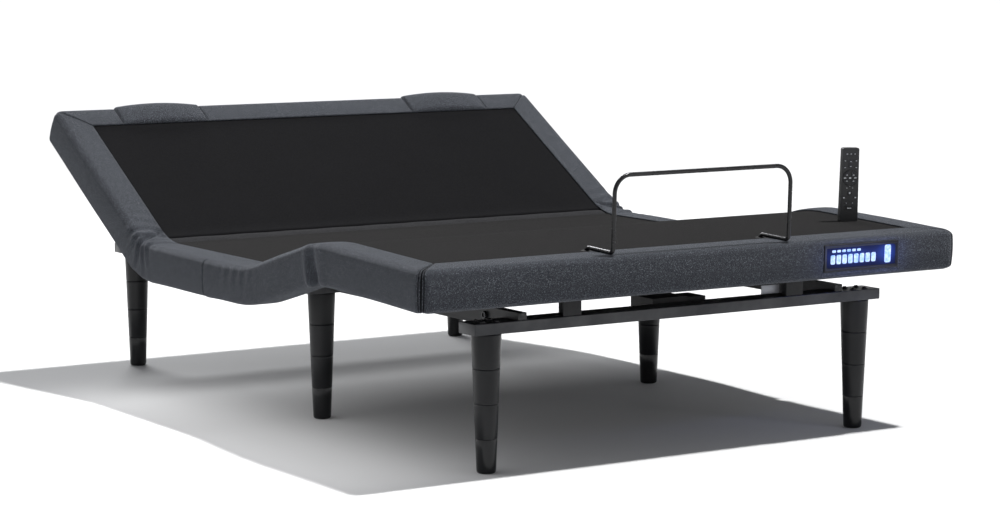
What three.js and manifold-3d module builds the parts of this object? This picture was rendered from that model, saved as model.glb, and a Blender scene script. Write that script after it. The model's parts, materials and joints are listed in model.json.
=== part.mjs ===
// Adjustable bed base: a steel underframe on six tapered legs carries a fixed seat panel,
// a lifting head section, and a thigh and foot section that fold at the knee.
// Millimetres. X runs across the bed, Y from the foot end to the head end, Z up.
import * as THREE from "three";
import { mergeVertices } from "three/addons/utils/BufferGeometryUtils.js";
import Module from "manifold-3d";

const wasm = await Module();
wasm.setup();

// ---- Driving dimensions -------------------------------------------------------------------
const GAP = 0.3; // between touching pieces
const RUNNING = 0.5; // radial clearance of a turning fit

const WIDTH = 1524; // over the upholstered rails
const HEAD_LENGTH = 628; // hinge axis to head end
const SEAT_LENGTH = 588; // between the two seat hinges
const THIGH_LENGTH = 340; // seat hinge to knee hinge
const FOOT_LENGTH = 476; // knee hinge to foot end

const HEAD_REST = 30.5; // degrees above flat, as stored
const HEAD_MOST = 65;
const THIGH_REST = 15.6;
const THIGH_MOST = 36;
const KNEE_RATIO = 17.6 / 15.6; // knee fold for each degree of thigh lift

const LEG_HEIGHT = 316.7;
const LEG_TOP_RADIUS = 33;
const LEG_FOOT_RADIUS = 22;
const LEG_SEGMENTS = 4;
const LEG_SEAM = 0.7; // depth of the groove between leg segments
const LEG_TOE = { chamfer: 3, rise: 4 };
const LEG_SIDES = 18;

const BAR = { depth: 67, height: 26, wall: 2 };
const FOOT_BAR = { y: 0, half: 581, legs: 531 };
const MID_BAR = { behindSeatHinge: 103, half: 550, legs: 500 };
const HEAD_BAR = { half: 570, legs: 520 };
const BAR_CLEARANCE = { foot: 12.5, head: 1.5 }; // to the end bolsters, when the sections are flat

const RAIL = { x: 455, width: 24, wall: 2, rise: 17, overhang: 30 }; // side rails on the bars
const FRAME = { size: 24, wall: 2.5, sideGap: 2 }; // section channels and cross tubes
const HINGE_ROD_RADIUS = 5;
const HINGE_ROD_OVERHANG = 3;

const DECK = { thickness: 18, recess: 4, clearance: 1 };
const BOLSTER = { thickness: 66, height: 97, clearance: 1 };

const FOOT_REST = { x: 320, width: 50, depth: 20, setback: 2 };
const CROSS_TUBE_INSET = 45; // seat cross tubes, from the seat hinges
const CROSSMEMBER_INSET = 55; // lever crossmembers, from their hinge
const FOOT_CROSSMEMBER_INSET = 300; // from the knee

const CHANNEL_END_GAP = 6; // from a section channel to the end bolster
const MASSAGE = { radius: 55, taper: 6, height: 40, head: 330, foot: 120 };
const CONTROL_BOX = {
  x: 1, width: 99, depth: 90, height: 38, wing: 62, wingThick: 12, wingDrop: 5, wingInset: 10,
};
const INLET = { width: 18, height: 12, depth: 14 };

const LEVER = { plate: 5, gap: 9, radius: 12, pin: 5 };
const HEAD_LEVER = 60; // crank radius
const THIGH_LEVER = 80;
const ACTUATOR = {
  x: 90, half: 28, rise: 26, back: 20, front: 66, tube: 15, rod: 8, drum: 24, drumLength: 82,
  drumForward: 19, trunnion: 5, trunnionEnd: 3, lug: 5, lugGap: 34, eye: 8, eyeWall: 6,
  tubeShort: 40, // from the tube's end to the crank pin, drawn in
  rodInside: 50, // what stays in the tube, driven out
};
const HEAD_PIVOT_DROP = 32; // below the middle bar
const LEG_PIVOT_DROP = 72.6; // below the hinge line

const LIGHT_PANEL = {
  x: WIDTH / 2 - 297, width: 228, height: 64, thickness: 5, top: 14, rim: 6, recess: 2.5,
};
const LENS_THICKNESS = 2;

const RETAINER = { half: 251, radius: 5, edge: 9, run: 106, rise: 176, bend: 12, arch: 42, sink: 12 };

const REMOTE = {
  x: WIDTH / 2 - 127, inset: 255, yaw: -20, height: 184, bottom: 47, top: 43, thickness: 16, corner: 5,
};
const KEY = { sink: 2, proud: 1.2, floor: 3, gap: 0.4 };
const DIAL = { v: 109, radius: 18.5, strip: 3.2 };
const STOP_KEY = { v: 71.5, radius: 4.2 };
const FLAT_KEY = { v: 33.6, width: 22, height: 9 };
const ROCKER = { v: 144, width: 9, height: 22 };
const BATTERY_COVER = { low: 22, high: 84, half: 16, thickness: 2, recess: 2.3 };

// ---- Levels and places that follow ---------------------------------------------------------
const barBottom = LEG_HEIGHT + GAP;
const barTop = barBottom + BAR.height;
const railTop = barTop + GAP + RAIL.rise;
const axisZ = railTop + GAP + FRAME.size / 2; // every hinge lies on the frame's centre line
const deckBottom = FRAME.size / 2 + GAP; // from here on, heights count from the hinge line
const deckTop = deckBottom + DECK.thickness;
const bolsterTop = deckTop + DECK.recess;
const bolsterBottom = bolsterTop - BOLSTER.height;
const barFromTip = BOLSTER.thickness + BAR.depth / 2; // with the clearance, to a bar's middle
const seatHingeY = FOOT_BAR.y + THIGH_LENGTH + FOOT_LENGTH - barFromTip - BAR_CLEARANCE.foot;
const headHingeY = seatHingeY + SEAT_LENGTH;
MID_BAR.y = seatHingeY + MID_BAR.behindSeatHinge;
HEAD_BAR.y = headHingeY + HEAD_LENGTH - barFromTip - BAR_CLEARANCE.head;
const innerHalf = WIDTH / 2 - BOLSTER.thickness;
const deckHalf = innerHalf - GAP;
const outerChannelX = RAIL.x + Math.max(RAIL.width, FRAME.size) / 2 + FRAME.sideGap + FRAME.size / 2;
const rodHalf = outerChannelX + FRAME.size / 2 + HINGE_ROD_OVERHANG;
const headFold = HEAD_MOST / 2;
const thighFold = THIGH_MOST / 2;
const kneeFold = (THIGH_MOST * KNEE_RATIO) / 2;

const radians = THREE.MathUtils.degToRad;
const rise = (angle) => Math.tan(radians(angle));

// ---- Materials -----------------------------------------------------------------------------
const paint = (color, roughness, metalness = 0) =>
  new THREE.MeshStandardMaterial({ color, roughness, metalness });
const steel = paint(0x3c3e44, 0.4, 0.6);
const darkSteel = paint(0x202124, 0.4, 0.6);
const legBlack = paint(0x17181b, 0.3);
const rodSteel = paint(0x9b9ca0, 0.3, 0.9);
const railFabric = paint(0x3d4149, 0.95);
const deckFabric = paint(0x303031, 0.95);
const blackPlastic = paint(0x141416, 0.5);
const keyRubber = paint(0x2b2c30, 0.7);
const wireSteel = paint(0x101012, 0.3, 0.7);
const glow = paint(0xbfd6ff, 0.3);

// ---- Solids --------------------------------------------------------------------------------
function solid(geometry) {
  const plain = geometry.clone();
  plain.deleteAttribute("normal");
  plain.deleteAttribute("uv");
  const merged = mergeVertices(plain, 1e-4);
  return new wasm.Manifold(
    new wasm.Mesh({
      numProp: 3,
      vertProperties: merged.attributes.position.array,
      triVerts: new Uint32Array(merged.index.array),
    }),
  );
}

function geometryOf(manifold) {
  const mesh = manifold.getMesh();
  const geometry = new THREE.BufferGeometry();
  geometry.setAttribute("position", new THREE.BufferAttribute(mesh.vertProperties, 3));
  geometry.setIndex(new THREE.BufferAttribute(mesh.triVerts, 1));
  geometry.computeVertexNormals();
  return geometry;
}

const join = (...pieces) => geometryOf(pieces.map(solid).reduce((a, b) => a.add(b)));
const cut = (piece, ...tools) => geometryOf(tools.map(solid).reduce((a, b) => a.subtract(b), solid(piece)));
const common = (a, b) => geometryOf(solid(a).intersect(solid(b)));

function block(x0, x1, y0, y1, z0, z1) {
  const box = new THREE.BoxGeometry(x1 - x0, y1 - y0, z1 - z0);
  return box.translate((x0 + x1) / 2, (y0 + y1) / 2, (z0 + z1) / 2);
}

const outline = (points) => new THREE.Shape(points.map(([a, b]) => new THREE.Vector2(a, b)));

function extrude(shape, depth) {
  return new THREE.ExtrudeGeometry(shape, { depth, bevelEnabled: false, curveSegments: 10 });
}

// A shape drawn in (y, z), extruded from x0 to x1.
function prismX(shape, x0, x1) {
  const turn = new THREE.Matrix4().makeBasis(
    new THREE.Vector3(0, 1, 0), new THREE.Vector3(0, 0, 1), new THREE.Vector3(1, 0, 0));
  return extrude(shape, x1 - x0).applyMatrix4(turn).translate(x0, 0, 0);
}

// A shape drawn in (x, y), extruded from z0 to z1.
const prismZ = (shape, z0, z1) => extrude(shape, z1 - z0).translate(0, 0, z0);

// A shape drawn in (x, z), extruded towards -Y from depth d0 to depth d1.
const prismFront = (shape, d0, d1) => extrude(shape, d1 - d0).translate(0, 0, d0).rotateX(Math.PI / 2);

function cylinderX(radius, x0, x1, y = 0, z = 0, sides = 24) {
  const made = new THREE.CylinderGeometry(radius, radius, x1 - x0, sides).rotateZ(Math.PI / 2);
  return made.translate((x0 + x1) / 2, y, z);
}

const cylinderY = (radius, y0, y1, sides = 24) =>
  new THREE.CylinderGeometry(radius, radius, y1 - y0, sides).translate(0, (y0 + y1) / 2, 0);

// The outline round two circles: a link, a lug or a slot.
function linkShape(ay, az, ar, by, bz, br) {
  const heading = Math.atan2(bz - az, by - ay);
  const spread = Math.acos((ar - br) / Math.hypot(by - ay, bz - az));
  const shape = new THREE.Shape();
  shape.absarc(ay, az, ar, heading + spread, heading + 2 * Math.PI - spread, false);
  shape.absarc(by, bz, br, heading - spread, heading + spread, false);
  return shape;
}

function add(group, name, geometry, material) {
  const mesh = new THREE.Mesh(geometry, material);
  mesh.name = name;
  group.add(mesh);
}

const root = new THREE.Group();
const SIDES = [["left", -1], ["right", 1]];

// ---- Underframe ----------------------------------------------------------------------------
function barGeometry(bar) {
  const outer = block(-bar.half, bar.half, bar.y - BAR.depth / 2, bar.y + BAR.depth / 2, barBottom, barTop);
  return { outer, bore: barBore(bar) };
}

function barBore(bar) {
  const halfDepth = BAR.depth / 2 - BAR.wall;
  return block(-bar.half - 1, bar.half + 1, bar.y - halfDepth, bar.y + halfDepth,
    barBottom + BAR.wall, barTop - BAR.wall);
}

// Two lugs that hold an actuator's trunnions, hanging from a tube at (y, z) to the pivot.
function pivotLugs(x, y, z, radius, pivotZ) {
  const shape = linkShape(y, z, radius, y, pivotZ, LEVER.radius);
  return [-1, 1].map((side) => {
    const a = x + side * ACTUATOR.lugGap;
    const b = a + side * ACTUATOR.lug;
    return prismX(shape, Math.min(a, b), Math.max(a, b));
  });
}

function trunnionBore(x, y, z) {
  const reach = ACTUATOR.lugGap + ACTUATOR.lug + 1;
  return cylinderX(ACTUATOR.trunnion + RUNNING, x - reach, x + reach, y, z);
}

const headPivotZ = barBottom - HEAD_PIVOT_DROP;
const legPivotY = headHingeY - CROSS_TUBE_INSET;
const legPivotZ = axisZ - LEG_PIVOT_DROP;

function addBars() {
  for (const [name, bar] of [["foot_cross_bar", FOOT_BAR], ["head_cross_bar", HEAD_BAR]]) {
    const { outer, bore } = barGeometry(bar);
    add(root, name, cut(outer, bore), steel);
  }
  const { outer, bore } = barGeometry(MID_BAR);
  const lugs = pivotLugs(-ACTUATOR.x, MID_BAR.y, (barBottom + barTop) / 2, BAR.height / 2 - 1, headPivotZ);
  const bar = join(outer, ...lugs);
  add(root, "mid_cross_bar", cut(bar, bore, trunnionBore(-ACTUATOR.x, MID_BAR.y, headPivotZ)), steel);
}

function legGeometry() {
  const profile = [new THREE.Vector2(0, 0), new THREE.Vector2(LEG_FOOT_RADIUS - LEG_TOE.chamfer, 0),
    new THREE.Vector2(LEG_FOOT_RADIUS, LEG_TOE.rise)];
  const radiusAt = (z) => LEG_FOOT_RADIUS + ((LEG_TOP_RADIUS - LEG_FOOT_RADIUS) * z) / LEG_HEIGHT;
  for (let i = 1; i < LEG_SEGMENTS; i++) {
    const z = (LEG_HEIGHT * i) / LEG_SEGMENTS;
    profile.push(new THREE.Vector2(radiusAt(z - LEG_SEAM), z - LEG_SEAM));
    profile.push(new THREE.Vector2(radiusAt(z) - LEG_SEAM, z));
    profile.push(new THREE.Vector2(radiusAt(z + LEG_SEAM), z + LEG_SEAM));
  }
  profile.push(new THREE.Vector2(LEG_TOP_RADIUS, LEG_HEIGHT), new THREE.Vector2(0, LEG_HEIGHT));
  return new THREE.LatheGeometry(profile, LEG_SIDES).rotateX(Math.PI / 2);
}

function addLegs() {
  for (const [row, bar] of [["foot", FOOT_BAR], ["mid", MID_BAR], ["head", HEAD_BAR]]) {
    for (const [name, side] of SIDES) {
      const leg = new THREE.Mesh(legGeometry(), legBlack);
      leg.name = `${name}_${row}_leg`;
      leg.position.set(side * bar.legs, bar.y, 0);
      root.add(leg);
    }
  }
}

// A side rail: a deep tube notched over the three bars, with a lug at each seat hinge.
function railGeometry(x) {
  const y0 = FOOT_BAR.y - RAIL.overhang;
  const y1 = HEAD_BAR.y + BAR.depth / 2;
  const half = RAIL.width / 2;
  const lugs = [seatHingeY, headHingeY].map((y) => prismX(
    linkShape(y, railTop - FRAME.size / 2, FRAME.size / 2, y, axisZ, FRAME.size / 2), x - half, x + half));
  const body = join(block(x - half, x + half, y0, y1, barBottom + GAP, railTop), ...lugs);
  const hollow = half - RAIL.wall;
  const bore = block(x - hollow, x + hollow, y0 - 1, y1 + 1,
    barBottom + GAP + RAIL.wall, railTop - RAIL.wall);
  const notches = [FOOT_BAR, MID_BAR, HEAD_BAR].map((bar) => block(
    x - half - 1, x + half + 1, bar.y - BAR.depth / 2 - GAP, bar.y + BAR.depth / 2 + GAP,
    barBottom - 1, barTop + GAP));
  const eyes = [seatHingeY, headHingeY].map((y) => cylinderX(
    HINGE_ROD_RADIUS + GAP, x - half - 1, x + half + 1, y, axisZ));
  return cut(body, bore, ...notches, ...eyes);
}

function addRails() {
  for (const [name, side] of SIDES) add(root, `${name}_side_rail`, railGeometry(side * RAIL.x), steel);
}

function addFootRests() {
  const front = FOOT_BAR.y - BAR.depth / 2 + FOOT_REST.setback;
  for (const [name, side] of SIDES) {
    const x = side * FOOT_REST.x;
    add(root, `${name}_foot_rest`, block(x - FOOT_REST.width / 2, x + FOOT_REST.width / 2, front,
      front + FOOT_REST.depth, barTop + GAP, axisZ + deckBottom - GAP), darkSteel);
  }
}

function crossTube(y, half) {
  const r = FRAME.size / 2;
  const hollow = r - FRAME.wall;
  return {
    outer: block(-half, half, y - r, y + r, -r, r),
    bore: block(-half - 1, half + 1, y - hollow, y + hollow, -hollow, hollow),
  };
}

function addSeatFrame(seat) {
  const front = crossTube(CROSS_TUBE_INSET, deckHalf);
  add(seat, "seat_front_cross_tube", cut(front.outer, front.bore), darkSteel);
  const y = SEAT_LENGTH - CROSS_TUBE_INSET;
  const rear = crossTube(y, deckHalf);
  const lugs = pivotLugs(ACTUATOR.x, y, 0, FRAME.size / 2 - 1, -LEG_PIVOT_DROP);
  add(seat, "seat_rear_cross_tube",
    cut(join(rear.outer, ...lugs), rear.bore, trunnionBore(ACTUATOR.x, y, -LEG_PIVOT_DROP)), darkSteel);
}

function addHingeRod(group, name, y) {
  add(group, name, cylinderX(HINGE_ROD_RADIUS, -rodHalf, rodHalf, y, 0), rodSteel);
}

function addControlBox() {
  const back = FOOT_BAR.y + BAR.depth / 2 + GAP;
  const x0 = CONTROL_BOX.x - CONTROL_BOX.width / 2;
  const x1 = CONTROL_BOX.x + CONTROL_BOX.width / 2;
  const top = barBottom + CONTROL_BOX.height;
  const wingTop = top - CONTROL_BOX.wingDrop;
  const inset = CONTROL_BOX.wingInset;
  const body = join(
    block(x0, x1, back, back + CONTROL_BOX.depth, barBottom, top),
    block(x1 - 1, x1 + CONTROL_BOX.wing, back + inset, back + CONTROL_BOX.depth - inset,
      wingTop - CONTROL_BOX.wingThick, wingTop));
  const end = back + CONTROL_BOX.depth;
  const inletZ = barBottom + CONTROL_BOX.height / 2;
  const inlet = block(CONTROL_BOX.x - INLET.width / 2, CONTROL_BOX.x + INLET.width / 2,
    end - INLET.depth, end + 1, inletZ - INLET.height / 2, inletZ + INLET.height / 2);
  add(root, "control_box", cut(body, inlet), blackPlastic);
}

// ---- Upholstered rails and decks -------------------------------------------------------------
// An end is { fold, up }: half the greatest fold there, and whether the section folds upwards,
// so that the rail is cut back above the hinge line, or downwards, below it.
const FREE_END = { fold: 0, up: true, clearance: 0 };
const headJoin = { fold: headFold, up: true, clearance: BOLSTER.clearance };
const thighJoin = { fold: thighFold, up: true, clearance: BOLSTER.clearance };
const kneeJoin = { fold: kneeFold, up: false, clearance: BOLSTER.clearance };

function setback(end, z) {
  const closes = end.up ? z > 0 : z < 0;
  return end.clearance + (closes ? Math.abs(z) * rise(end.fold) : 0);
}

function sideProfile(y0, y1, end0, end1) {
  const heights = [bolsterBottom, 0, bolsterTop];
  const near = heights.map((z) => [y0 + setback(end0, z), z]);
  const far = heights.map((z) => [y1 - setback(end1, z), z]).reverse();
  return outline([...near, ...far].reverse());
}

function sideBolster(side, y0, y1, end0, end1) {
  const inner = side * innerHalf;
  const outer = (side * WIDTH) / 2;
  return prismX(sideProfile(y0, y1, end0, end1), Math.min(inner, outer), Math.max(inner, outer));
}

// A side bolster whose far end, at y = tip, is mitred to meet the end bolster.
function mitredBolster(side, hingeEnd, tip, towards) {
  const [y0, y1] = towards > 0 ? [0, tip] : [tip, 0];
  const ends = towards > 0 ? [hingeEnd, FREE_END] : [FREE_END, hingeEnd];
  const rail = sideBolster(side, y0, y1, ...ends);
  const inner = side * (innerHalf - 1);
  const outer = side * (WIDTH / 2 + 1);
  const gap = towards * GAP;
  const plan = outline([[inner, -towards], [outer, -towards], [outer, tip - gap + towards],
    [inner, tip - gap - towards * (BOLSTER.thickness + 1)]]);
  return common(rail, prismZ(plan, bolsterBottom - 1, bolsterTop + 1));
}

function endBolster(tip, towards) {
  const back = tip - towards * BOLSTER.thickness;
  const plan = outline([[-WIDTH / 2, tip], [WIDTH / 2, tip], [innerHalf, back], [-innerHalf, back]]);
  return prismZ(plan, bolsterBottom, bolsterTop);
}

const deckSetback = (end) => DECK.clearance + (end.up ? deckTop * rise(end.fold) : 0);
const deck = (y0, y1) => block(-deckHalf, deckHalf, y0, y1, deckBottom, deckTop);

function addMassageMotor(group, name, y) {
  const motor = new THREE.CylinderGeometry(MASSAGE.radius, MASSAGE.radius - MASSAGE.taper, MASSAGE.height, 32);
  motor.rotateX(Math.PI / 2).translate(0, y, deckBottom - GAP - MASSAGE.height / 2);
  add(group, name, motor, blackPlastic);
}

// ---- Section frames --------------------------------------------------------------------------
// An inverted channel along Y with a round hinge eye at each end that is listed.
function channel(x, y0, y1, eyes) {
  const r = FRAME.size / 2;
  const body = join(block(x - r, x + r, y0, y1, -r, r),
    ...eyes.map((eye) => cylinderX(r, x - r, x + r, eye.y)));
  const hollow = r - FRAME.wall;
  const inset = (y) => (eyes.some((eye) => eye.y === y) ? FRAME.size : -1);
  const trough = block(x - hollow, x + hollow, y0 + inset(y0), y1 - inset(y1), -r - 1, r - FRAME.wall);
  const bores = eyes.map((eye) => cylinderX(eye.radius, x - r - 1, x + r + 1, eye.y));
  return cut(body, trough, ...bores);
}

const runningEye = (y) => ({ y, radius: HINGE_ROD_RADIUS + RUNNING });
const fixedEye = (y) => ({ y, radius: HINGE_ROD_RADIUS + GAP });

// A cross tube with a two-plate crank whose pin an actuator pushes on.
function leverCrossmember(y, half, x, pinY, pinZ) {
  const tube = crossTube(y, half);
  const shape = linkShape(y, 0, FRAME.size / 2 - 0.5, pinY, pinZ, LEVER.radius);
  const reach = LEVER.gap + LEVER.plate;
  const plates = [prismX(shape, x - reach, x - LEVER.gap), prismX(shape, x + LEVER.gap, x + reach)];
  const pin = cylinderX(LEVER.pin, x - reach, x + reach, pinY, pinZ);
  return cut(join(tube.outer, ...plates, pin), tube.bore);
}

const channelHalf = outerChannelX - FRAME.size / 2 - GAP;
// The crank pins, in their section's own flat frame: each points straight down at half lift.
const headPin = [-HEAD_LEVER * Math.sin(radians(headFold)), -HEAD_LEVER * Math.cos(radians(headFold))];
const thighPin = [THIGH_LEVER * Math.sin(radians(thighFold)), -THIGH_LEVER * Math.cos(radians(thighFold))];

// ---- Sections --------------------------------------------------------------------------------
function addSeat(seat) {
  addSeatFrame(seat);
  addHingeRod(seat, "seat_hinge_rod", 0);
  addHingeRod(seat, "head_hinge_rod", SEAT_LENGTH);
  add(seat, "seat_deck", deck(deckSetback(thighJoin), SEAT_LENGTH - deckSetback(headJoin)), deckFabric);
  for (const [name, side] of SIDES) {
    add(seat, `${name}_seat_bolster`, sideBolster(side, 0, SEAT_LENGTH, thighJoin, headJoin), railFabric);
  }
}

function addHead(head) {
  const inner = HEAD_LENGTH - BOLSTER.thickness - GAP;
  for (const [name, side] of SIDES) {
    add(head, `${name}_head_channel`, channel(side * outerChannelX, 0, inner - CHANNEL_END_GAP,
      [runningEye(0)]), darkSteel);
    add(head, `${name}_head_bolster`, mitredBolster(side, headJoin, HEAD_LENGTH, 1), railFabric);
  }
  add(head, "head_crossmember",
    leverCrossmember(CROSSMEMBER_INSET, channelHalf, -ACTUATOR.x, ...headPin), darkSteel);
  add(head, "head_deck", deck(deckSetback(headJoin), inner), deckFabric);
  add(head, "head_end_bolster", endBolster(HEAD_LENGTH, 1), railFabric);
  addMassageMotor(head, "head_massage_motor", MASSAGE.head);
}

function addThigh(thigh) {
  for (const [name, side] of SIDES) {
    add(thigh, `${name}_thigh_channel`, channel(side * outerChannelX, -THIGH_LENGTH, 0,
      [runningEye(0), fixedEye(-THIGH_LENGTH)]), darkSteel);
    add(thigh, `${name}_thigh_bolster`, sideBolster(side, -THIGH_LENGTH, 0, kneeJoin, thighJoin), railFabric);
  }
  add(thigh, "thigh_crossmember",
    leverCrossmember(-CROSSMEMBER_INSET, channelHalf, ACTUATOR.x, ...thighPin), darkSteel);
  add(thigh, "thigh_deck", deck(-THIGH_LENGTH + DECK.clearance, -deckSetback(thighJoin)), deckFabric);
  addHingeRod(thigh, "knee_hinge_rod", -THIGH_LENGTH);
}

function addFoot(foot) {
  const inner = FOOT_LENGTH - BOLSTER.thickness - GAP;
  for (const [name, side] of SIDES) {
    add(foot, `${name}_foot_channel`, channel(side * RAIL.x, CHANNEL_END_GAP - inner, 0,
      [runningEye(0)]), darkSteel);
    add(foot, `${name}_foot_bolster`, mitredBolster(side, kneeJoin, -FOOT_LENGTH, -1), railFabric);
  }
  const tube = crossTube(-FOOT_CROSSMEMBER_INSET, RAIL.x - FRAME.size / 2 - GAP);
  add(foot, "foot_crossmember", cut(tube.outer, tube.bore), darkSteel);
  const sockets = [-1, 1].map((side) => retainerSocket(side));
  add(foot, "foot_deck", cut(deck(-inner, -DECK.clearance), ...sockets), deckFabric);
  add(foot, "foot_end_bolster", endBolster(-FOOT_LENGTH, -1), railFabric);
  addMassageMotor(foot, "leg_massage_motor", -MASSAGE.foot);
  addLightPanel(foot);
  add(foot, "retainer_bar", retainerGeometry(), wireSteel);
  addRemote(foot);
}

function addLightPanel(foot) {
  const { x, width, height, rim } = LIGHT_PANEL;
  const face = -FOOT_LENGTH - GAP;
  const z1 = bolsterTop - LIGHT_PANEL.top;
  const front = face - LIGHT_PANEL.thickness;
  const floor = front + LIGHT_PANEL.recess;
  const housing = block(x - width / 2, x + width / 2, front, face, z1 - height, z1);
  const recess = block(x - width / 2 + rim, x + width / 2 - rim, front - 1, floor, z1 - height + rim, z1 - rim);
  add(foot, "light_panel_housing", cut(housing, recess), blackPlastic);
  const inside = rim + GAP;
  add(foot, "light_panel_lens", block(x - width / 2 + inside, x + width / 2 - inside,
    floor - GAP - LENS_THICKNESS, floor - GAP, z1 - height + inside, z1 - inside), glow);
}

// ---- Mattress retainer bar ---------------------------------------------------------------------
// A curve that passes through its own list of stations, one for each step of an extrusion.
class StationCurve extends THREE.Curve {
  constructor(stations) {
    super();
    this.stations = stations;
  }

  getPoint(t, target = new THREE.Vector3()) {
    const i = Math.round(t * (this.stations.length - 1));
    return target.copy(this.stations[i]);
  }

  getPointAt(t, target) {
    return this.getPoint(t, target);
  }

  getTangentAt(t, target = new THREE.Vector3()) {
    const last = this.stations.length - 1;
    const i = Math.round(t * last);
    const before = this.stations[Math.max(i - 1, 0)];
    const after = this.stations[Math.min(i + 1, last)];
    return target.subVectors(after, before).normalize();
  }
}

// The stations of a quarter bend of the given radius at a corner between two directions.
function bend(corner, into, out, radius, steps) {
  const centre = corner.clone().addScaledVector(into, -radius).addScaledVector(out, radius);
  return Array.from({ length: steps + 1 }, (_, i) => {
    const angle = (Math.PI / 2) * (i / steps);
    return centre.clone().addScaledVector(out, -radius * Math.cos(angle))
      .addScaledVector(into, radius * Math.sin(angle));
  });
}

const retainerZ = bolsterTop + GAP + RETAINER.radius;
const retainerFrontY = -FOOT_LENGTH + RETAINER.edge;
const retainerTailY = retainerFrontY + RETAINER.run;

function retainerSocket(side) {
  const hole = new THREE.CylinderGeometry(RETAINER.radius + 1, RETAINER.radius + 1, RETAINER.sink + 2, 16);
  const middle = deckTop - RETAINER.sink / 2;
  return hole.rotateX(Math.PI / 2).translate(side * RETAINER.half, retainerTailY, middle);
}

// One half, from the tail in its socket to the top of the arch.
function retainerHalf(side) {
  const at = (x, y, z) => new THREE.Vector3(side * x, y, z);
  const up = new THREE.Vector3(0, 0, 1);
  const forward = new THREE.Vector3(0, -1, 0);
  const inward = new THREE.Vector3(-side, 0, 0);
  const { half, radius, sink, rise: height } = RETAINER;
  return [
    at(half, retainerTailY, deckTop - sink + radius),
    ...bend(at(half, retainerTailY, retainerZ), up, forward, RETAINER.bend, 4),
    ...bend(at(half, retainerFrontY, retainerZ), forward, up, RETAINER.bend, 4),
    ...bend(at(half, retainerFrontY, retainerZ + height), up, inward, RETAINER.arch, 7),
  ];
}

function retainerGeometry() {
  const stations = [...retainerHalf(-1), ...retainerHalf(1).reverse()];
  const section = new THREE.Shape().absarc(0, 0, RETAINER.radius, 0, 2 * Math.PI, false);
  return new THREE.ExtrudeGeometry(section, {
    extrudePath: new StationCurve(stations), steps: stations.length - 1, curveSegments: 5,
    bevelEnabled: false,
  });
}

// ---- Handset -------------------------------------------------------------------------------------
function remoteOutline() {
  const { bottom, top, height, corner: r } = REMOTE;
  const shape = new THREE.Shape();
  shape.moveTo(-bottom / 2 + r, 0);
  shape.lineTo(bottom / 2 - r, 0);
  shape.quadraticCurveTo(bottom / 2, 0, bottom / 2, r);
  shape.lineTo(top / 2, height - r);
  shape.quadraticCurveTo(top / 2, height, top / 2 - r, height);
  shape.lineTo(-top / 2 + r, height);
  shape.quadraticCurveTo(-top / 2, height, -top / 2, height - r);
  shape.lineTo(-bottom / 2, r);
  shape.quadraticCurveTo(-bottom / 2, 0, -bottom / 2 + r, 0);
  return shape;
}

// A quarter of the dial, grown by a margin, on the side (sx, sv) of its centre.
function quadrantShape(sx, sv, grow) {
  const strip = DIAL.strip - grow;
  const radius = DIAL.radius + grow;
  const reach = Math.sqrt(radius * radius - strip * strip);
  const start = Math.atan2(strip, reach);
  const points = [[strip, strip]];
  for (let i = 0; i <= 6; i++) {
    const angle = start + ((Math.PI / 2 - 2 * start) * i) / 6;
    points.push([radius * Math.cos(angle), radius * Math.sin(angle)]);
  }
  return outline(points.map(([a, b]) => [sx * a, DIAL.v + sv * b]));
}

function stadiumShape(v, width, height, grow) {
  const r = Math.min(width, height) / 2 + grow;
  const dx = Math.max(width - height, 0) / 2;
  const dv = Math.max(height - width, 0) / 2;
  return linkShape(-dx, v - dv, r, dx, v + dv, r);
}

const KEYS = [
  ["head_up_key", (grow) => quadrantShape(-1, 1, grow)],
  ["leg_up_key", (grow) => quadrantShape(1, 1, grow)],
  ["head_down_key", (grow) => quadrantShape(-1, -1, grow)],
  ["leg_down_key", (grow) => quadrantShape(1, -1, grow)],
  ["stop_key", (grow) => new THREE.Shape().absarc(0, STOP_KEY.v, STOP_KEY.radius + grow, 0, 2 * Math.PI, false)],
  ["flat_key", (grow) => stadiumShape(FLAT_KEY.v, FLAT_KEY.width, FLAT_KEY.height, grow)],
  ["intensity_rocker", (grow) => stadiumShape(ROCKER.v, ROCKER.width, ROCKER.height, grow)],
];

function addRemote(foot) {
  const remote = new THREE.Group();
  remote.position.set(REMOTE.x, -FOOT_LENGTH + REMOTE.inset, deckTop + GAP);
  remote.rotation.z = radians(REMOTE.yaw);
  foot.add(remote);
  const face = REMOTE.thickness / 2;
  const pockets = KEYS.map(([, shape]) => prismFront(shape(KEY.gap), face - KEY.floor, face + 1));
  const cover = (grow) => outline([[-1, 0], [1, 0], [1, 1], [-1, 1]].map(([a, b]) => [
    a * (BATTERY_COVER.half + grow),
    b ? BATTERY_COVER.high + grow : BATTERY_COVER.low - grow]));
  const bay = prismFront(cover(GAP), -face - 1, -face + BATTERY_COVER.recess);
  const body = cut(prismFront(remoteOutline(), -face, face), ...pockets, bay);
  add(remote, "remote_body", body, blackPlastic);
  add(remote, "battery_cover", prismFront(cover(0), -face, -face + BATTERY_COVER.thickness), blackPlastic);
  for (const [name, shape] of KEYS) {
    add(remote, name, prismFront(shape(0), face - KEY.sink, face + KEY.proud), keyRubber);
  }
}

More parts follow.
